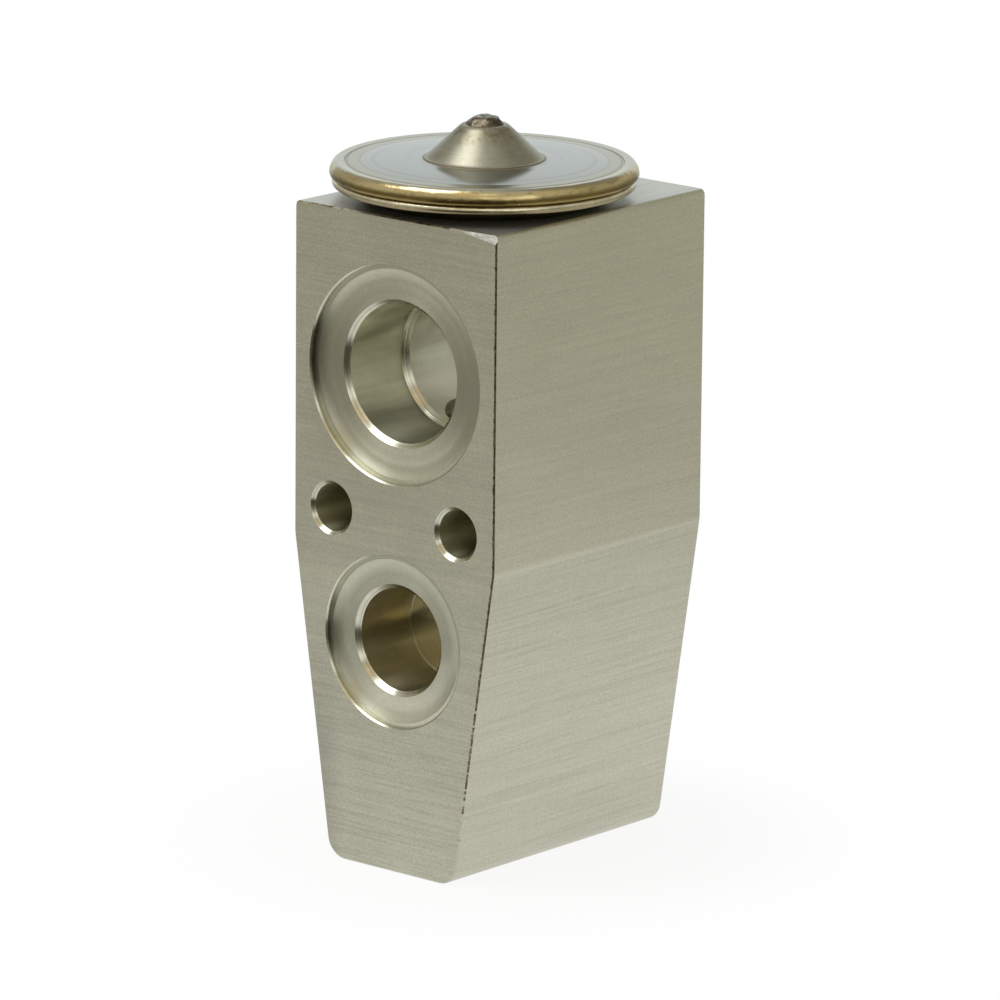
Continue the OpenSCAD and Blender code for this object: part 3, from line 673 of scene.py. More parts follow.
def turned(outline, segments, closed, slots=None):
    """A shape turned about Z from an outline of (radius, height) points.

    slots gives the material slot of each step of the outline, in order."""
    bm = bmesh.new()
    points = [bm.verts.new((r, 0, z)) for r, z in outline]
    steps = list(zip(points, points[1:] + points[:1] if closed else points[1:]))
    middles = [((a.co.x + b.co.x) / 2, (a.co.z + b.co.z) / 2) for a, b in steps]
    edges = [bm.edges.new(step) for step in steps]
    bmesh.ops.spin(
        bm, geom=points + edges, cent=(0, 0, 0), axis=(0, 0, 1), angle=math.tau, steps=segments,
        use_merge=True,
    )
    bmesh.ops.remove_doubles(bm, verts=bm.verts, dist=1e-5)
    bmesh.ops.dissolve_degenerate(bm, edges=bm.edges, dist=1e-6)
    bmesh.ops.recalc_face_normals(bm, faces=bm.faces)
    if slots:
        for face in bm.faces:
            rings = sorted({(round(v.co.xy.length, 4), round(v.co.z, 4)) for v in face.verts})
            r = (rings[0][0] + rings[-1][0]) / 2
            z = (rings[0][1] + rings[-1][1]) / 2
            near = min(range(len(middles)), key=lambda i: math.hypot(middles[i][0] - r, middles[i][1] - z))
            face.material_index = slots[near]
    return bm


def arc(middle, rx, rz, start, end, steps):
    """Points on an arc of an ellipse in an outline, angles in degrees."""
    angles = [math.radians(start + (end - start) * i / steps) for i in range(steps + 1)]
    return [(middle[0] + rx * math.cos(a), middle[1] + rz * math.sin(a)) for a in angles]


def bevelled(bm, edges, width, segments):
    """Bevels some edges, and gives the new faces."""
    return bmesh.ops.bevel(
        bm, geom=edges, offset=width, segments=segments, profile=0.5, affect="EDGES", material=-1
    )["faces"]


def soften_rings(bm, angle, width, segments):
    """Rounds the turned edges that are sharper than angle, in degrees."""
    rings = [
        e for e in bm.edges
        if abs(e.verts[0].co.z - e.verts[1].co.z) < 1e-4
        and abs(e.verts[0].co.xy.length - e.verts[1].co.xy.length) < 1e-3
        and e.calc_face_angle(0) > math.radians(angle)
    ]
    bevelled(bm, rings, width, segments)


def turn(bm, axis, degrees):
    """Turns a whole shape about one axis through the origin."""
    matrix = Matrix.Rotation(math.radians(degrees), 3, axis)
    bmesh.ops.rotate(bm, cent=(0, 0, 0), matrix=matrix, verts=bm.verts)


def turn_to_face(bm, front, height, across=0.0):
    """Turns a shape drawn up Z so that it points into the block from the face at front."""
    turn(bm, "X", -90 if front < 0 else 90)
    bmesh.ops.translate(bm, vec=(across, front, height), verts=bm.verts)


def thread_coil(radius, depth, start, turns, slot=0):
    """A three-cornered coil that cuts a thread outwards from a wall, or inwards if depth is below 0."""
    pitch = block_sizes().thread_pitch
    steps = 48
    half = pitch * 0.42
    back = radius - math.copysign(0.1, depth)
    bm = bmesh.new()
    corners = [(back, start - half), (radius + depth, start), (back, start + half)]
    face = bm.faces.new([bm.verts.new((r, 0, z)) for r, z in corners])
    bmesh.ops.spin(
        bm, geom=[face], cent=(0, 0, 0), axis=(0, 0, 1), dvec=(0, 0, pitch / steps), angle=math.tau * turns,
        steps=steps * turns, use_merge=False,
    )
    bmesh.ops.remove_doubles(bm, verts=bm.verts, dist=1e-5)
    bmesh.ops.recalc_face_normals(bm, faces=bm.faces)
    for face in bm.faces:
        face.material_index = slot
    return bm


def shown(name, bm):
    """A shape as an object of the scene."""
    mesh = bpy.data.meshes.new(name)
    bm.to_mesh(mesh)
    bm.free()
    made = bpy.data.objects.new(name, mesh)
    bpy.context.scene.collection.objects.link(made)
    return made


def finished(bm, name, node, body, sharp, finishes):
    """Turns a shape in millimetres into a piece in metres that replaces a node and rides on its body.

    Edges below the angle sharp, in degrees, are smooth. A piece without a body is left unattached."""
    bmesh.ops.scale(bm, vec=(0.001,) * 3, verts=bm.verts)
    for face in bm.faces:
        face.smooth = True
    for edge in bm.edges:
        edge.smooth = edge.calc_face_angle(0) < math.radians(sharp)
    piece = shown(name, bm)
    for finish in finishes:
        piece.data.materials.append(finish)
    if body:
        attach(piece, body)
    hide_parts(node)
    piece.modifiers.new("even_normals", "WEIGHTED_NORMAL").keep_sharp = True
    return piece


def cut(bm, cutters):
    """Takes the cutters out of a shape with Booleans, and keeps each face's slot number."""
    shapes = [bm, *cutters]
    slots = 1 + max(f.material_index for shape in shapes for f in shape.faces)
    blanks = [bpy.data.materials.new(f"blank_{i}") for i in range(slots)]
    items = [shown(f"cut_{i}", shape.copy()) for i, shape in enumerate(shapes)]
    for item in items:
        for blank in blanks:
            item.data.materials.append(blank)
    for cutter in items[1:]:
        modifier = items[0].modifiers.new("cut", "BOOLEAN")
        modifier.operation = "DIFFERENCE"
        modifier.solver = "MANIFOLD"
        modifier.object = cutter
    result = bpy.data.meshes.new_from_object(items[0].evaluated_get(bpy.context.evaluated_depsgraph_get()))
    bm.clear()
    bm.from_mesh(result)
    bpy.data.meshes.remove(result)
    for item in items:
        bpy.data.meshes.remove(item.data)
    for blank in blanks:
        bpy.data.materials.remove(blank)
    for shape in cutters:
        shape.free()
    if not bm.faces:
        raise RuntimeError("a cut left nothing of the shape")


# The block

DISH_STEPS = 6  # straight runs down the dish of a recess

# Slots of the block's finishes, in the order in which its operator lists them
(
    SAWN, DRAWN, LEVEL, EDGE, NICK, RECESS_UP, RECESS_IN, RECESS_OUT, TURNED_EDGE, BORE, DEEP, UPRIGHT_BORE,
    LIQUID_BORE, BOLT_BORE, BOTTOM,
) = range(15)


def block_blank():
    """The extruded blank: outline, rounded long edges and a deburred edge round each sawn face."""
    s = block_sizes()
    half = BLOCK_HIGH.x
    right = [
        (s.base_width / 2, 0, s.base_radius), (half, s.crease_height, s.crease_radius),
        (half, BLOCK_TOP, s.top_radius),
    ]
    corners = right + [(-x, z, radius) for x, z, radius in reversed(right)]
    bm = bmesh.new()
    bm.faces.new([bm.verts.new((x, BLOCK_LOW.y, z)) for x, z, _ in corners])
    made = bmesh.ops.extrude_face_region(bm, geom=bm.faces[:])
    far = [v for v in made["geom"] if isinstance(v, bmesh.types.BMVert)]
    bmesh.ops.translate(bm, vec=(0, BLOCK_DEPTH, 0), verts=far)
    bmesh.ops.recalc_face_normals(bm, faces=bm.faces)
    places = [Vector((x, z)) for x, z, _ in corners]
    for i, (x, z, radius) in enumerate(corners):
        before, after = places[i - 1] - places[i], places[(i + 1) % len(places)] - places[i]
        reach = radius / math.tan(before.angle(after) / 2)
        long_edge = [
            e for e in bm.edges if all((v.co - Vector((x, v.co.y, z))).length < 1e-4 for v in e.verts)
        ]
        bevelled(bm, long_edge, reach, 8)
    for face in bm.faces:
        facing = {SAWN: abs(face.normal.y), LEVEL: abs(face.normal.z), DRAWN: 0.9}
        face.material_index = max(facing, key=facing.get)
    rims = [e for e in bm.edges if sum(f.material_index == SAWN for f in e.link_faces) == 1]
    for face in bevelled(bm, rims, s.edge_break, 1):
        face.material_index = EDGE
    return bm


def port_form(name, depth, floor):
    """A port's outline as (radius, depth), down to its bore's mouth, and the slot of each step of it."""
    s = port_sizes()
    bore_r = mount(name)[1]["r_mm"]
    wall_r = mount(f"{name}_recess")[1]["r_mm"]
    open_r = wall_r + s.recess_chamfer
    step_r = wall_r - s.step_width
    rim = depth - s.dish_height
    outline = [
        (0, -OVER), (open_r, -OVER), (open_r, 0), (wall_r, s.recess_chamfer), (wall_r, rim - s.step_height),
        (step_r, rim - s.step_height),
    ]
    outline += [
        (step_r - s.dish_width * (1 - t), depth - s.dish_height * t**2.4)
        for t in [1 - i / DISH_STEPS for i in range(DISH_STEPS + 1)]
    ]
    outline += [(bore_r + s.mouth_chamfer, depth), (bore_r, depth + s.mouth_chamfer)]
    slots = [TURNED_EDGE] * 4 + [floor, TURNED_EDGE] + [floor] * (DISH_STEPS + 1) + [TURNED_EDGE]
    return outline, slots


def port_cutter(name, outline, slots):
    """A turned cutter that points into the block at a port."""
    bm = turned(outline, port_sizes().facets, False, slots)
    place = mount(name)[0]
    turn_to_face(bm, BLOCK_LOW.y if place.y < 0 else BLOCK_HIGH.y, place.z)
    return bm


def port_cutters():
    """The suction passage with a port at each end, both liquid ports and the drilling up to the seat."""
    s = port_sizes()
    outline, slots = port_form("suction_outlet", s.suction_depth, RECESS_UP)
    bore_r, way_r, shoulder = outline[-1][0], s.suction_way_radius, s.suction_bore_depth
    outline += [(bore_r, shoulder), (way_r, shoulder + bore_r - way_r)]
    outline += [(r, BLOCK_DEPTH - y) for r, y in reversed(outline)]
    slots += [BORE, TURNED_EDGE]
    cutters = [port_cutter("suction_outlet", outline, slots + [DEEP] + slots[::-1])]

    outline, slots = port_form("liquid_inlet", s.liquid_depth, RECESS_IN)
    bore_r, wall_end, bottom = outline[-1][0], s.inlet_bore_depth, s.inlet_bore_depth + 0.1
    outline += [(bore_r, wall_end), (bore_r - 0.25, bottom), (0, bottom + s.bottom_slope * bore_r)]
    cutters.append(port_cutter("liquid_inlet", outline, slots + [LIQUID_BORE, TURNED_EDGE, BOTTOM]))

    outline, slots = port_form("liquid_outlet", s.liquid_depth, RECESS_OUT)
    bore_r = outline[-1][0]
    outline += [(bore_r, s.outlet_bore_depth), (0, s.outlet_bore_depth)]
    cutters.append(port_cutter("liquid_outlet", outline, slots + [LIQUID_BORE] * 2))

    drill_r, above_seat = 2.3, 2.2
    drilling = turned(
        [(0, 0), (drill_r, 0), (drill_r, BLOCK_HIGH.y), (0, BLOCK_HIGH.y)], 48, False, [DEEP] * 3
    )
    turn_to_face(drilling, BLOCK_HIGH.y, node_box("orifice_seat")[1].z + above_seat)
    return cutters + [drilling]


def bolt_cutters():
    """Both bolt holes, with a chamfer at each end."""
    place, dims = mount("bolt_holes")
    r, chamfer = dims["hole_r_mm"], port_sizes().bolt_chamfer
    mouth, far = r + chamfer, BLOCK_DEPTH
    outline = [
        (0, -OVER), (mouth, -OVER), (mouth, 0), (r, chamfer), (r, far - chamfer), (mouth, far),
        (mouth, far + OVER), (0, far + OVER),
    ]
    cutters = []
    for side in (-1, 1):
        hole = turned(outline, 72, False, [TURNED_EDGE] * 3 + [BOLT_BORE] + [TURNED_EDGE] * 3)
        turn_to_face(hole, BLOCK_LOW.y, place.z, side * dims["spacing_x_mm"] / 2)
        cutters.append(hole)
    return cutters


def upright_cutters():
    """The bores along the valve axis, from below and from above, and the screw's thread."""
    screw_r, screw_top, chamber_r, chamber_foot = 7.5, 8.8, 6.3, 9.4
    seat_r, guide_r, rod_r, seal_r, throat_r, head_seal_r = 3, 1.05, 2.85, 4.7, 7, 14.2
    neck_r = head_sizes().neck_radius + 0.02
    seat_z = node_box("orifice_seat")[0].z
    throat_z = node_box("head_housing")[0].z - 0.4
    land_z = BLOCK_TOP - 1.9
    suction_z = mount("suction_outlet")[0].z
    way_z = suction_z - port_sizes().suction_way_radius
    seal_z = way_z - 3.95
    pocket_z = seat_z + 7.2
    rod_z = pocket_z + 6.6
    lower = [
        (0, -OVER), (screw_r + 0.5, -OVER), (screw_r + 0.5, 0), (screw_r, 0.5), (screw_r, screw_top),
        (chamber_r, chamber_foot), (chamber_r, seat_z - 1), (chamber_r - 1, seat_z), (seat_r, seat_z),
        (seat_r, pocket_z - 1), (guide_r, pocket_z), (guide_r, rod_z + 0.5), (0, rod_z + 0.5),
    ]
    upper = [
        (0, rod_z), (rod_r, rod_z), (rod_r, seal_z), (seal_r, seal_z), (seal_r, way_z),
        (seal_r + 0.4, way_z + 0.4), (seal_r + 0.4, suction_z), (throat_r, suction_z), (throat_r, throat_z),
        (neck_r, throat_z), (neck_r, land_z), (head_seal_r, land_z), (head_seal_r, BLOCK_TOP + OVER),
        (0, BLOCK_TOP + OVER),
    ]
    bores = [turned(outline, 96, False, [UPRIGHT_BORE] * (len(outline) - 1)) for outline in (lower, upper)]
    return bores + [thread_coil(screw_r, 0.3, -0.7, 9, UPRIGHT_BORE)]


def nick_cutter():
    """A slanted slice off the front top edge, next to the near corner."""
    bm = bmesh.new()
    bmesh.ops.create_cube(bm, size=1)
    bmesh.ops.scale(bm, vec=(block_sizes().nick_length * 2, 2, 4), verts=bm.verts)
    for axis, degrees in (("X", -24), ("Z", 2.6), ("Y", 3.4)):
        turn(bm, axis, degrees)
    bmesh.ops.translate(bm, vec=(BLOCK_HIGH.x, BLOCK_LOW.y - 0.69, BLOCK_TOP - 0.25), verts=bm.verts)
    for face in bm.faces:
        face.material_index = NICK
    return bm


class VALVE_OT_block(bpy.types.Operator):
    """Make the aluminium block with its ports, bolt holes and bores"""

    bl_idname = "valve.block"
    bl_label = "Aluminium block"

    def execute(self, context):
        bm = block_blank()
        cut(bm, [*port_cutters(), *bolt_cutters(), *upright_cutters(), nick_cutter()])
        ports = ("suction_outlet", "liquid_inlet", "liquid_outlet")
        names = ("Suction recess", "Inlet recess", "Outlet recess")
        recesses = [
            recess_finish(name, mount(port)[0].z, mount(f"{port}_recess")[1]["r_mm"])
            for name, port in zip(names, ports)
        ]
        suction, inlet, _ = (mount(port)[0].z for port in ports)
        finishes = [
            sawn_finish(), drawn_finish(), level_finish(), edge_finish(), nick_finish(), *recesses,
            edge_turned_finish(),
            # Painted light: each bore's base colour is the turned aluminium made lighter or darker by how
            # much light reaches in, near white for the deep passage and part diffuse in the upright bore.
            bore_finish("Bore wall", (0.92, 0.91, 0.73), 0.32, middle=suction),
            bore_finish("Deep bore", (0.97, 0.965, 0.88), 0.36),
            bore_finish("Upright bore", (0.5, 0.45, 0.32), 0.55, "Z", 0.6),
            bore_finish("Liquid bore", (0.57, 0.52, 0.345), 0.3),
            bore_finish("Bolt bore", (0.66, 0.63, 0.42), 0.35, middle=mount("bolt_holes")[0].z + 3.5),
            bottom_finish(inlet),
        ]
        finished(bm, "aluminium_block", "valve_body", "block", 20, finishes)
        return {"FINISHED"}


# The head


class VALVE_OT_cover(bpy.types.Operator):
    """Make the pressed cover with its hollow cone"""

    bl_idname = "valve.cover"
    bl_label = "Pressed cover"

    def execute(self, context):
        s = head_sizes()
        flat = BLOCK_TOP + s.cover_rise
        top = BLOCK_TOP + s.cone_rise
        foot, shoulder, rim = s.cone_foot_radius, s.cone_shoulder_radius, s.rim_radius
        ring, step = s.ring_radius, s.step_radius
        under = BLOCK_TOP + s.rim_rise + 0.12
        ceiling = flat - s.cover_sheet
        hole, hole_foot = 0.87, top - s.cover_sheet - 0.2
        dome_start, dome_end = foot + 0.7, ring - 0.1
        dome = [
            (r, flat + 0.1 - s.cover_fall * ((r - dome_start) / (dome_end - dome_start)) ** 2)
            for r in (dome_start + 0.05, 10, 11.5, 13, 14.3, 15.6, dome_end)
        ]
        rim_top = dome[-1][1]
        cone = [
            (hole, top), (shoulder - 0.5, top), (shoulder - 0.1, top - 0.1), (shoulder + 0.25, top - 0.38),
            (foot - 0.1, flat + 0.65), (foot + 0.1, flat + 0.43), (foot + 0.35, flat + 0.28),
            (foot + 0.55, flat + 0.25),
        ]
        outline = [
            *cone, *dome, (ring + 0.05, rim_top - 0.03), (step - 0.15, rim_top - 0.04),
            (step, rim_top - 0.1), (step + 0.1, rim_top - 0.16), (rim, flat - 0.9), (rim, under),
            (rim - 2.7, under), (rim - 3.3, ceiling), (foot - 0.2, ceiling),
            (shoulder - s.cover_sheet, hole_foot), (hole, hole_foot),
        ]
        slots = [1] * len(cone) + [0] * (len(outline) - len(cone))
        bm = turned(outline, s.facets, True, slots)
        soften_rings(bm, 28, 0.05, 2)
        finishes = [cover_finish(), cone_finish()]
        finished(bm, "pressed_cover", "head_cover", "block", 25, finishes)
        return {"FINISHED"}


class VALVE_OT_plug(bpy.types.Operator):
    """Make the cropped and fused charge plug on the cone"""

    bl_idname = "valve.plug"
    bl_label = "Charge plug"

    def execute(self, context):
        s = head_sizes()
        low, high = node_box("charge_plug")
        top = BLOCK_TOP + s.cone_rise
        stem, r, h = 0.85, s.plug_radius, high.z - top
        outline = [
            (0, low.z), (stem, low.z), (stem, top - 0.03), (r + 0.35, top - 0.03), (r + 0.33, top + 0.12),
            (r + 0.12, top + h * 0.3), (r - 0.1, top + h * 0.5), (r - 0.25, top + h * 0.7),
            (r - 0.42, top + h * 0.86), (r - 0.75, top + h * 0.96), (r - 1.3, top + h), (0.35, top + h),
            (0, top + h),
        ]
        bm = turned(outline, 72, False)
        long_edges = [e for e in bm.edges if e.calc_length() > 0.4]
        bmesh.ops.subdivide_edges(bm, edges=long_edges, cuts=1, use_grid_fill=True)
        for vert in bm.verts:
            if vert.co.z > top + 0.1:
                lump = noise.noise(vert.co * 0.7 + Vector((3.1, 0.4, 7.7)))
                fine = noise.noise(vert.co * 1.9 + Vector((1.1, 5.4, 2.7)))
                rise = min(max((vert.co.z - top) / h, 0), 1)
                vert.co.xy *= 1 - 0.03 * rise - max(0.10 * lump + 0.05 * fine + 0.03, 0)
                vert.co.z -= rise * max(0.10 + 0.26 * lump + 0.12 * fine, 0)
        finished(bm, "fused_plug", "charge_plug", "block", 60, [plug_finish()])
        return {"FINISHED"}


class VALVE_OT_weld(bpy.types.Operator):
    """Make the weld bead round the head"""

    bl_idname = "valve.weld"
    bl_label = "Weld bead"

    def execute(self, context):
        s = head_sizes()
        high = node_box("rim_weld")[1]
        rim_z = BLOCK_TOP + s.rim_rise
        cover_z = BLOCK_TOP + s.cover_rise
        widest = rim_z - 0.15
        inner, outer = s.rim_radius + 0.02, high.x
        outline = [(inner, rim_z - 0.71)]
        outline += arc((outer - 0.55, widest), 0.55, 0.56, -90, 0, 8)
        outline += arc((s.rim_radius, widest), outer - s.rim_radius, high.z - widest, 8, 90, 12)
        outline += [(s.step_radius + 0.05, cover_z + 0.03 - s.cover_fall), (inner, cover_z - 0.89)]
        bm = turned(outline, s.facets * 2, True)
        for vert in bm.verts:
            out = vert.co.xy.length
            if out > s.rim_radius + 0.2:
                wave = noise.noise(Vector((vert.co.x, vert.co.y, vert.co.z * 0.5)) * 0.35)
                fine = noise.noise(vert.co * 1.3)
                vert.co.xy *= min(1 - (0.05 + 0.06 * wave + 0.025 * fine) / out, 1)
        finished(bm, "weld_bead", "rim_weld", "block", 50, [weld_finish()])
        return {"FINISHED"}


class VALVE_OT_housing(bpy.types.Operator):
    """Make the lower half of the head with its rolled lip"""

    bl_idname = "valve.housing"
    bl_label = "Head housing"

    def execute(self, context):
        s = head_sizes()
        lip_r = s.lip_radius
        lip_z = BLOCK_TOP + s.rim_rise - 0.76 - 2 * lip_r
        lip_middle = node_box("head_housing")[1].x - lip_r
        land = BLOCK_TOP + 0.05
        foot = BLOCK_TOP - s.neck_length
        rim_z = BLOCK_TOP + s.rim_rise - 0.02
        floor_z = node_box("diaphragm_pad")[1].z - 2.25
        neck, bore, rim, chamber = s.neck_radius, s.neck_bore_radius, s.rim_radius, 13.8
        neck_steps = [(bore, foot), (neck - 0.6, foot), (neck, foot + 0.6), (neck, land)]
        lip_steps = [(neck + 3.5, land), (lip_middle - 0.7, lip_z), (lip_middle - 0.2, lip_z)]
        lip_steps += arc((lip_middle, lip_z + lip_r), lip_r, lip_r, -90, 70, 14)
        inner_steps = [
            (rim, lip_z + 2 * lip_r + 0.02), (rim, rim_z), (rim - 3.2, rim_z), (chamber, floor_z),
            (bore + 0.3, floor_z), (bore, floor_z - 0.3),
        ]
        outline = neck_steps + lip_steps + inner_steps
        slots = [1] * len(neck_steps) + [0] * len(lip_steps) + [1] * len(inner_steps)
        bm = turned(outline, s.facets, True, slots)
        finishes = [lip_finish(), turned_finish("Turned housing", [c * 0.85 for c in colours().steel], 0.3)]
        finished(bm, "rolled_housing", "head_housing", "block", 25, finishes)
        return {"FINISHED"}


# The inner parts


def spring_half(start, turned_by, stretches, wire, coil):
    """Round wire wound up Z from a start, through stretches of (turns, rise)."""
    bm = bmesh.new()
    sides = 14
    bmesh.ops.create_circle(bm, cap_ends=True, segments=sides, radius=wire)
    turn(bm, "X", 90)
    bmesh.ops.translate(bm, vec=(coil, 0, start), verts=bm.verts)
    turn(bm, "Z", turned_by)
    end = bm.faces[:]
    for turns, rise in stretches:
        steps = round(40 * turns)
        made = bmesh.ops.spin(
            bm, geom=end, cent=(0, 0, 0), axis=(0, 0, 1), dvec=(0, 0, rise / steps),
            angle=math.tau * turns, steps=steps, use_merge=False,
        )
        end = [f for f in made["geom_last"] if isinstance(f, bmesh.types.BMFace)]
    bmesh.ops.remove_doubles(bm, verts=bm.verts, dist=1e-4)
    ends = (start, start + sum(rise for _, rise in stretches))
    inner = [
        f for f in bm.faces
        if len(f.verts) == sides and all(abs(f.calc_center_median().z - z) > 1e-3 for z in ends)
    ]
    bmesh.ops.delete(bm, geom=inner, context="FACES_ONLY")
    bmesh.ops.recalc_face_normals(bm, faces=bm.faces)
    return bm


class VALVE_OT_spring(bpy.types.Operator):
    """Make the superheat spring from round wire, in two halves"""

    bl_idname = "valve.spring"
    bl_label = "Superheat spring"

    def execute(self, context):
        low, high = node_box("superheat_spring")
        wire = 0.55
        coil = high.x - wire
        closed = 2 * wire + 0.03
        free_turns = 5
        middle = (low.z + high.z) / 2
        lower = ((1, closed), (free_turns / 2, middle - low.z - wire - closed))
        finish = wire_finish()
        halves = (
            ("lower", low.z + wire, 0, lower, "screw_seal", "block", low.z + closed, middle - wire),
            ("upper", middle, 180, lower[::-1], "block", "stem", middle + wire, high.z - closed),
        )
        for name, start, turned_by, stretches, below, above, gives_from, gives_to in halves:
            bm = spring_half(start, turned_by, stretches, wire, coil)
            half = finished(bm, f"spring_{name}_half", "superheat_spring", None, 40, [finish])
            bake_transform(half)
        return {"FINISHED"}


class VALVE_OT_screw(bpy.types.Operator):
    """Make the adjusting screw with its thread, seal groove and hexagon socket"""

    bl_idname = "valve.screw"
    bl_label = "Adjusting screw"

    def execute(self, context):
        low, high = node_box("adjusting_screw")
        r, foot, top = high.x, low.z, high.z - 0.4
        shoulder, groove_foot, groove_top = foot + 6.5, foot + 7.4, foot + 9.4
        spigot_r, groove_r, cup_r, pilot_r = 6.25, 4.9, 4.85, 3.4
        spring_foot = top - 1.2
        outline = [
            (0, foot), (r - 0.6, foot), (r, foot + 0.6), (r, shoulder - 0.6), (r - 0.6, shoulder),
            (spigot_r, shoulder), (spigot_r, groove_foot), (groove_r, groove_foot), (groove_r, groove_top),
            (spigot_r, groove_top), (spigot_r, top - 0.4), (spigot_r - 0.4, top), (cup_r, top),
            (cup_r, spring_foot), (pilot_r, spring_foot), (pilot_r, top), (pilot_r - 0.4, top + 0.4),
            (0, top + 0.4),
        ]
        bm = turned(outline, 96, False)
        socket = bmesh.new()
        across_flats, socket_depth, length = 6, 5, 6
        corner = across_flats / 2 / math.cos(math.pi / 6)
        bmesh.ops.create_cone(
            socket, cap_ends=True, segments=6, radius1=corner, radius2=corner, depth=length
        )
        bmesh.ops.translate(socket, vec=(0, 0, foot + socket_depth - length / 2), verts=socket.verts)
        cut(bm, [socket, thread_coil(r, -0.35, foot + 0.2, 6)])
        finish = turned_finish("Screw brass", colours().brass, 0.3, 4)
        finished(bm, "hex_screw", "adjusting_screw", "screw", 25, [finish])
        return {"FINISHED"}


class VALVE_OT_inner_finishes(bpy.types.Operator):
    """Give the inner parts their metals and rubber"""

    bl_idname = "valve.inner_finishes"
    bl_label = "Inner finishes"

    def execute(self, context):
        c = colours()
        sheet = turned_finish("Thin sheet", [v * 0.9 for v in c.steel], 0.26, 3)
        brass = turned_finish("Turned brass", c.brass, 0.28)
        bright = turned_finish("Ground steel", c.steel, 0.22, 8)
        rod = turned_finish("Rod aluminium", c.turned, 0.28, 6)
        wearers = (
            (sheet, "diaphragm", "seal_retainer", "damping_spring"),
            (brass, "diaphragm_pad", "ball_carrier"),
            (rod, "sensing_rod"),
            (bright, "push_rod", "valve_ball", "orifice_seat"),
            (rubber_finish(), "head_seal_ring", "rod_seal_ring", "screw_seal_ring"),
        )
        for finish, *names in wearers:
            for name in names:
                for slot in frame["nodes"][name].material_slots:
                    slot.link = "OBJECT"
                    slot.material = finish
        return {"FINISHED"}


# The stage

# The camera fitted to the photograph: degrees, millimetres, and the focal length in pixels
AZIMUTH, ELEVATION, ROLL = 40.592, 13.789, 0.537
DISTANCE, FOCAL = 1072.735, 7807.697
AIM_ACROSS, AIM_UP = 0.202, 48.344
CENTRE_Y = 3.59

# The stand lies back and to the left, so that the recesses see little of it
STAND_X, STAND_Y, STAND_Z, STAND_RADIUS = -36, 46, -0.05, 150

# The room: each card's azimuth and elevation, the angles from there where it is full and where it ends,
# and its colour
CARDS = (
    ("backdrop", -139, 13, 17, 36, (0.85, 0.91, 0.92)),
    ("back ceiling", 165, 46, 18, 40, (0.36, 0.34, 0.29)),
    ("right wall", 137, 12, 14, 30, (0.46, 0.45, 0.38)),
    ("dark floor in front", 32, -30, 22, 44, (0.09, 0.08, 0.06)),
    ("low window", 43, 22, 4, 9, (1.5, 1.5, 1.45)),
    ("low window, right part", 70, 17, 5, 15, (1.5, 1.5, 1.45)),
    ("high window", -6, 53, 5, 13, (1.2, 1.2, 1.15)),
    ("high window, right part", 40, 51, 4, 11, (1.35, 1.35, 1.3)),
    ("tan wall", 35, 37, 4, 8, (0.85, 0.66, 0.42)),
    ("tan wall, upper part", 22, 48, 5, 10, (0.85, 0.66, 0.42)),
    ("top window", -54, 72, 2, 17, (1.1, 1.1, 1.05)),
    ("left wall", -92, 26, 14, 32, (0.45, 0.44, 0.39)),
)


def direction(azimuth, elevation):
    """A direction given as the camera's is: azimuth 0 is in front of the pipe face."""
    a, e = math.radians(azimuth), math.radians(elevation)
    return Vector((math.sin(a) * math.cos(e), -math.cos(a) * math.cos(e), math.sin(e)))


def make_camera():
    """The photograph's camera."""
    back = direction(AZIMUTH, ELEVATION)
    level = direction(AZIMUTH + 90, 0)
    upright = back.cross(level)
    roll = math.radians(ROLL)
    right = level * math.cos(roll) + upright * math.sin(roll)
    up = upright * math.cos(roll) - level * math.sin(roll)
    target = level * AIM_ACROSS + Vector((0, CENTRE_Y, AIM_UP))
    data = bpy.data.cameras.new("photo_camera")
    data.sensor_width = 36
    data.lens = FOCAL * data.sensor_width / 1000
    data.clip_start, data.clip_end = 0.05, 10
    camera = bpy.data.objects.new("photo_camera", data)
    camera.rotation_mode = "QUATERNION"
    camera.rotation_quaternion = Matrix((right, up, back)).transposed().to_quaternion()
    camera.location = (target + back * DISTANCE) / 1000
    bpy.context.scene.collection.objects.link(camera)
    bpy.context.scene.camera = camera


def make_world():
    """A pale room with windows, seen by the metal. The camera sees plain white."""
    world = bpy.data.worlds.new("Pale room")
    bpy.context.scene.world = world
    world.use_nodes = True
    tree = NodeTree(world.node_tree)
    place = tree.add("ShaderNodeTexCoord").outputs["Generated"]
    split = tree.add("ShaderNodeSeparateXYZ")
    tree.put(split.inputs[0], place)
    up = split.outputs["Z"]
    room = tree.mix(tree.range(up, -0.5, -0.28), (0.85, 0.835, 0.76), (0.36, 0.35, 0.30))
    room = tree.mix(tree.range(up, 0.0, 0.3), room, (0.64, 0.63, 0.57))
    for name, azimuth, elevation, inner, outer, shade in CARDS:
        near = tree.along(place, direction(azimuth, elevation))
        edge = tree.range(near, math.cos(math.radians(outer)), math.cos(math.radians(inner)))
        room = tree.mix(edge, room, shade, label=name)
    by_camera = tree.add("ShaderNodeLightPath").outputs["Is Camera Ray"]
    background = tree.nodes["Background"]
    tree.put(background.inputs["Color"], tree.mix(by_camera, room, (1, 1, 1)))
    tree.put(background.inputs["Strength"], 1)


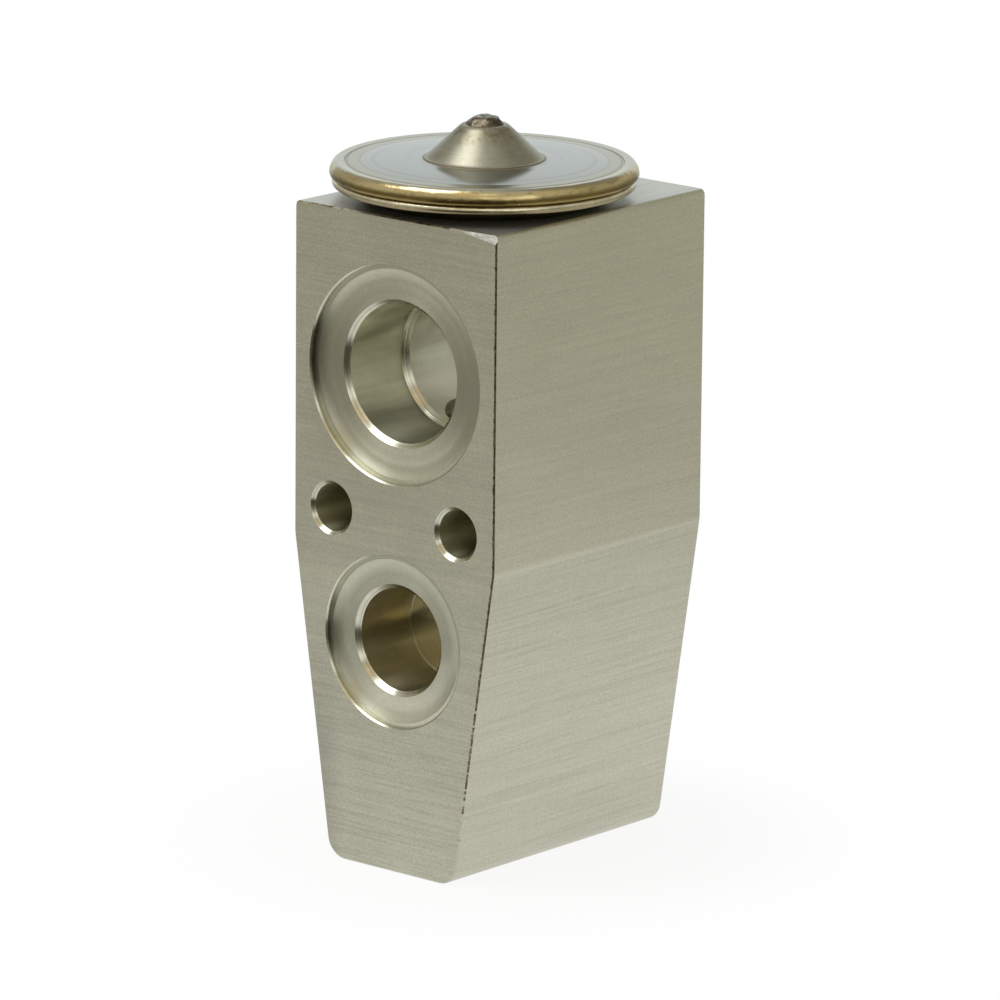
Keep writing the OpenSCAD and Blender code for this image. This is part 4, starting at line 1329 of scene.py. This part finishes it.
def make_stand():
    """A round white stand that keeps the valve's shadow and fades to white before its edge."""
    bm = bmesh.new()
    bmesh.ops.create_circle(bm, cap_ends=True, segments=96, radius=STAND_RADIUS)
    bmesh.ops.translate(bm, vec=(STAND_X, STAND_Y, STAND_Z), verts=bm.verts)
    bmesh.ops.scale(bm, vec=(0.001,) * 3, verts=bm.verts)
    stand = shown("stand", bm)
    made = Finish("White stand", (0.86, 0.86, 0.85), 0, 0.8)
    white = made.add("ShaderNodeEmission")
    made.put(white.inputs["Color"], (1, 1, 1))
    made.put(white.inputs["Strength"], 1)
    path = made.add("ShaderNodeLightPath").outputs
    seen = made.math("ADD", path["Is Camera Ray"], path["Is Glossy Ray"])
    seen = made.math("ADD", seen, path["Is Transmission Ray"], True)
    share = made.range(made.radius((0, CENTRE_Y), "XY"), 26, 60, 0.9, 1)
    mixed = made.add("ShaderNodeMixShader")
    made.put(mixed.inputs[0], made.times(seen, share))
    made.put(mixed.inputs[1], made.shader.outputs[0])
    made.put(mixed.inputs[2], white.outputs[0])
    made.put(made.nodes["Material Output"].inputs["Surface"], mixed.outputs[0])
    stand.data.materials.append(made.done())


def make_lamp():
    """A soft area lamp high up on the left, aimed at the middle of the valve."""
    azimuth, elevation, distance = -29, 60, 0.9
    middle = Vector((0, 0, 0.05))
    data = bpy.data.lights.new("soft_key", "AREA")
    data.shape = "DISK"
    data.size = 0.56
    data.energy = 2.9
    lamp = bpy.data.objects.new("soft_key", data)
    bpy.context.scene.collection.objects.link(lamp)
    aim = direction(azimuth, elevation)
    lamp.location = middle + aim * distance
    lamp.rotation_mode = "QUATERNION"
    lamp.rotation_quaternion = aim.to_track_quat("Z", "Y")


class VALVE_OT_stage(bpy.types.Operator):
    """Make the camera, the lamp, the white stand and the pale room"""

    bl_idname = "valve.stage"
    bl_label = "Stage"

    def execute(self, context):
        make_camera()
        make_world()
        make_stand()
        make_lamp()
        context.scene.view_settings.view_transform = "Standard"
        return {"FINISHED"}


class VALVE_PT_panel(bpy.types.Panel):
    """Sizes, colours and makers of the valve"""

    bl_idname = "VALVE_PT_panel"
    bl_label = "Block expansion valve"
    bl_space_type = "VIEW_3D"
    bl_region_type = "UI"
    bl_category = "Valve"

    def draw(self, context):
        layout = self.layout
        for label, group in GROUPS.items():
            box = layout.box()
            box.label(text=group.__doc__)
            for name in group.__annotations__:
                box.prop(getattr(context.scene, label), name)
        for operator in STEPS:
            layout.operator(operator.bl_idname)


GROUPS = {
    "valve_block": ValveBlockSizes,
    "valve_ports": ValvePortSizes,
    "valve_head": ValveHeadSizes,
    "valve_colours": ValveColours,
}
STEPS = (
    VALVE_OT_stage, VALVE_OT_block, VALVE_OT_cover, VALVE_OT_plug, VALVE_OT_weld, VALVE_OT_housing,
    VALVE_OT_spring, VALVE_OT_screw, VALVE_OT_inner_finishes,
)


def register():
    for group in (*GROUPS.values(), *STEPS, VALVE_PT_panel):
        bpy.utils.register_class(group)
    for label, group in GROUPS.items():
        setattr(bpy.types.Scene, label, PointerProperty(type=group))


def unregister():
    for label in GROUPS:
        delattr(bpy.types.Scene, label)
    for group in (VALVE_PT_panel, *reversed(STEPS), *reversed(GROUPS.values())):
        bpy.utils.unregister_class(group)


def main():
    register()
    bpy.ops.valve.stage()
    bpy.ops.valve.block()
    bpy.ops.valve.cover()
    bpy.ops.valve.plug()
    bpy.ops.valve.weld()
    bpy.ops.valve.housing()
    bpy.ops.valve.spring()
    bpy.ops.valve.screw()
    bpy.ops.valve.inner_finishes()


if __name__ == "__main__":
    main()
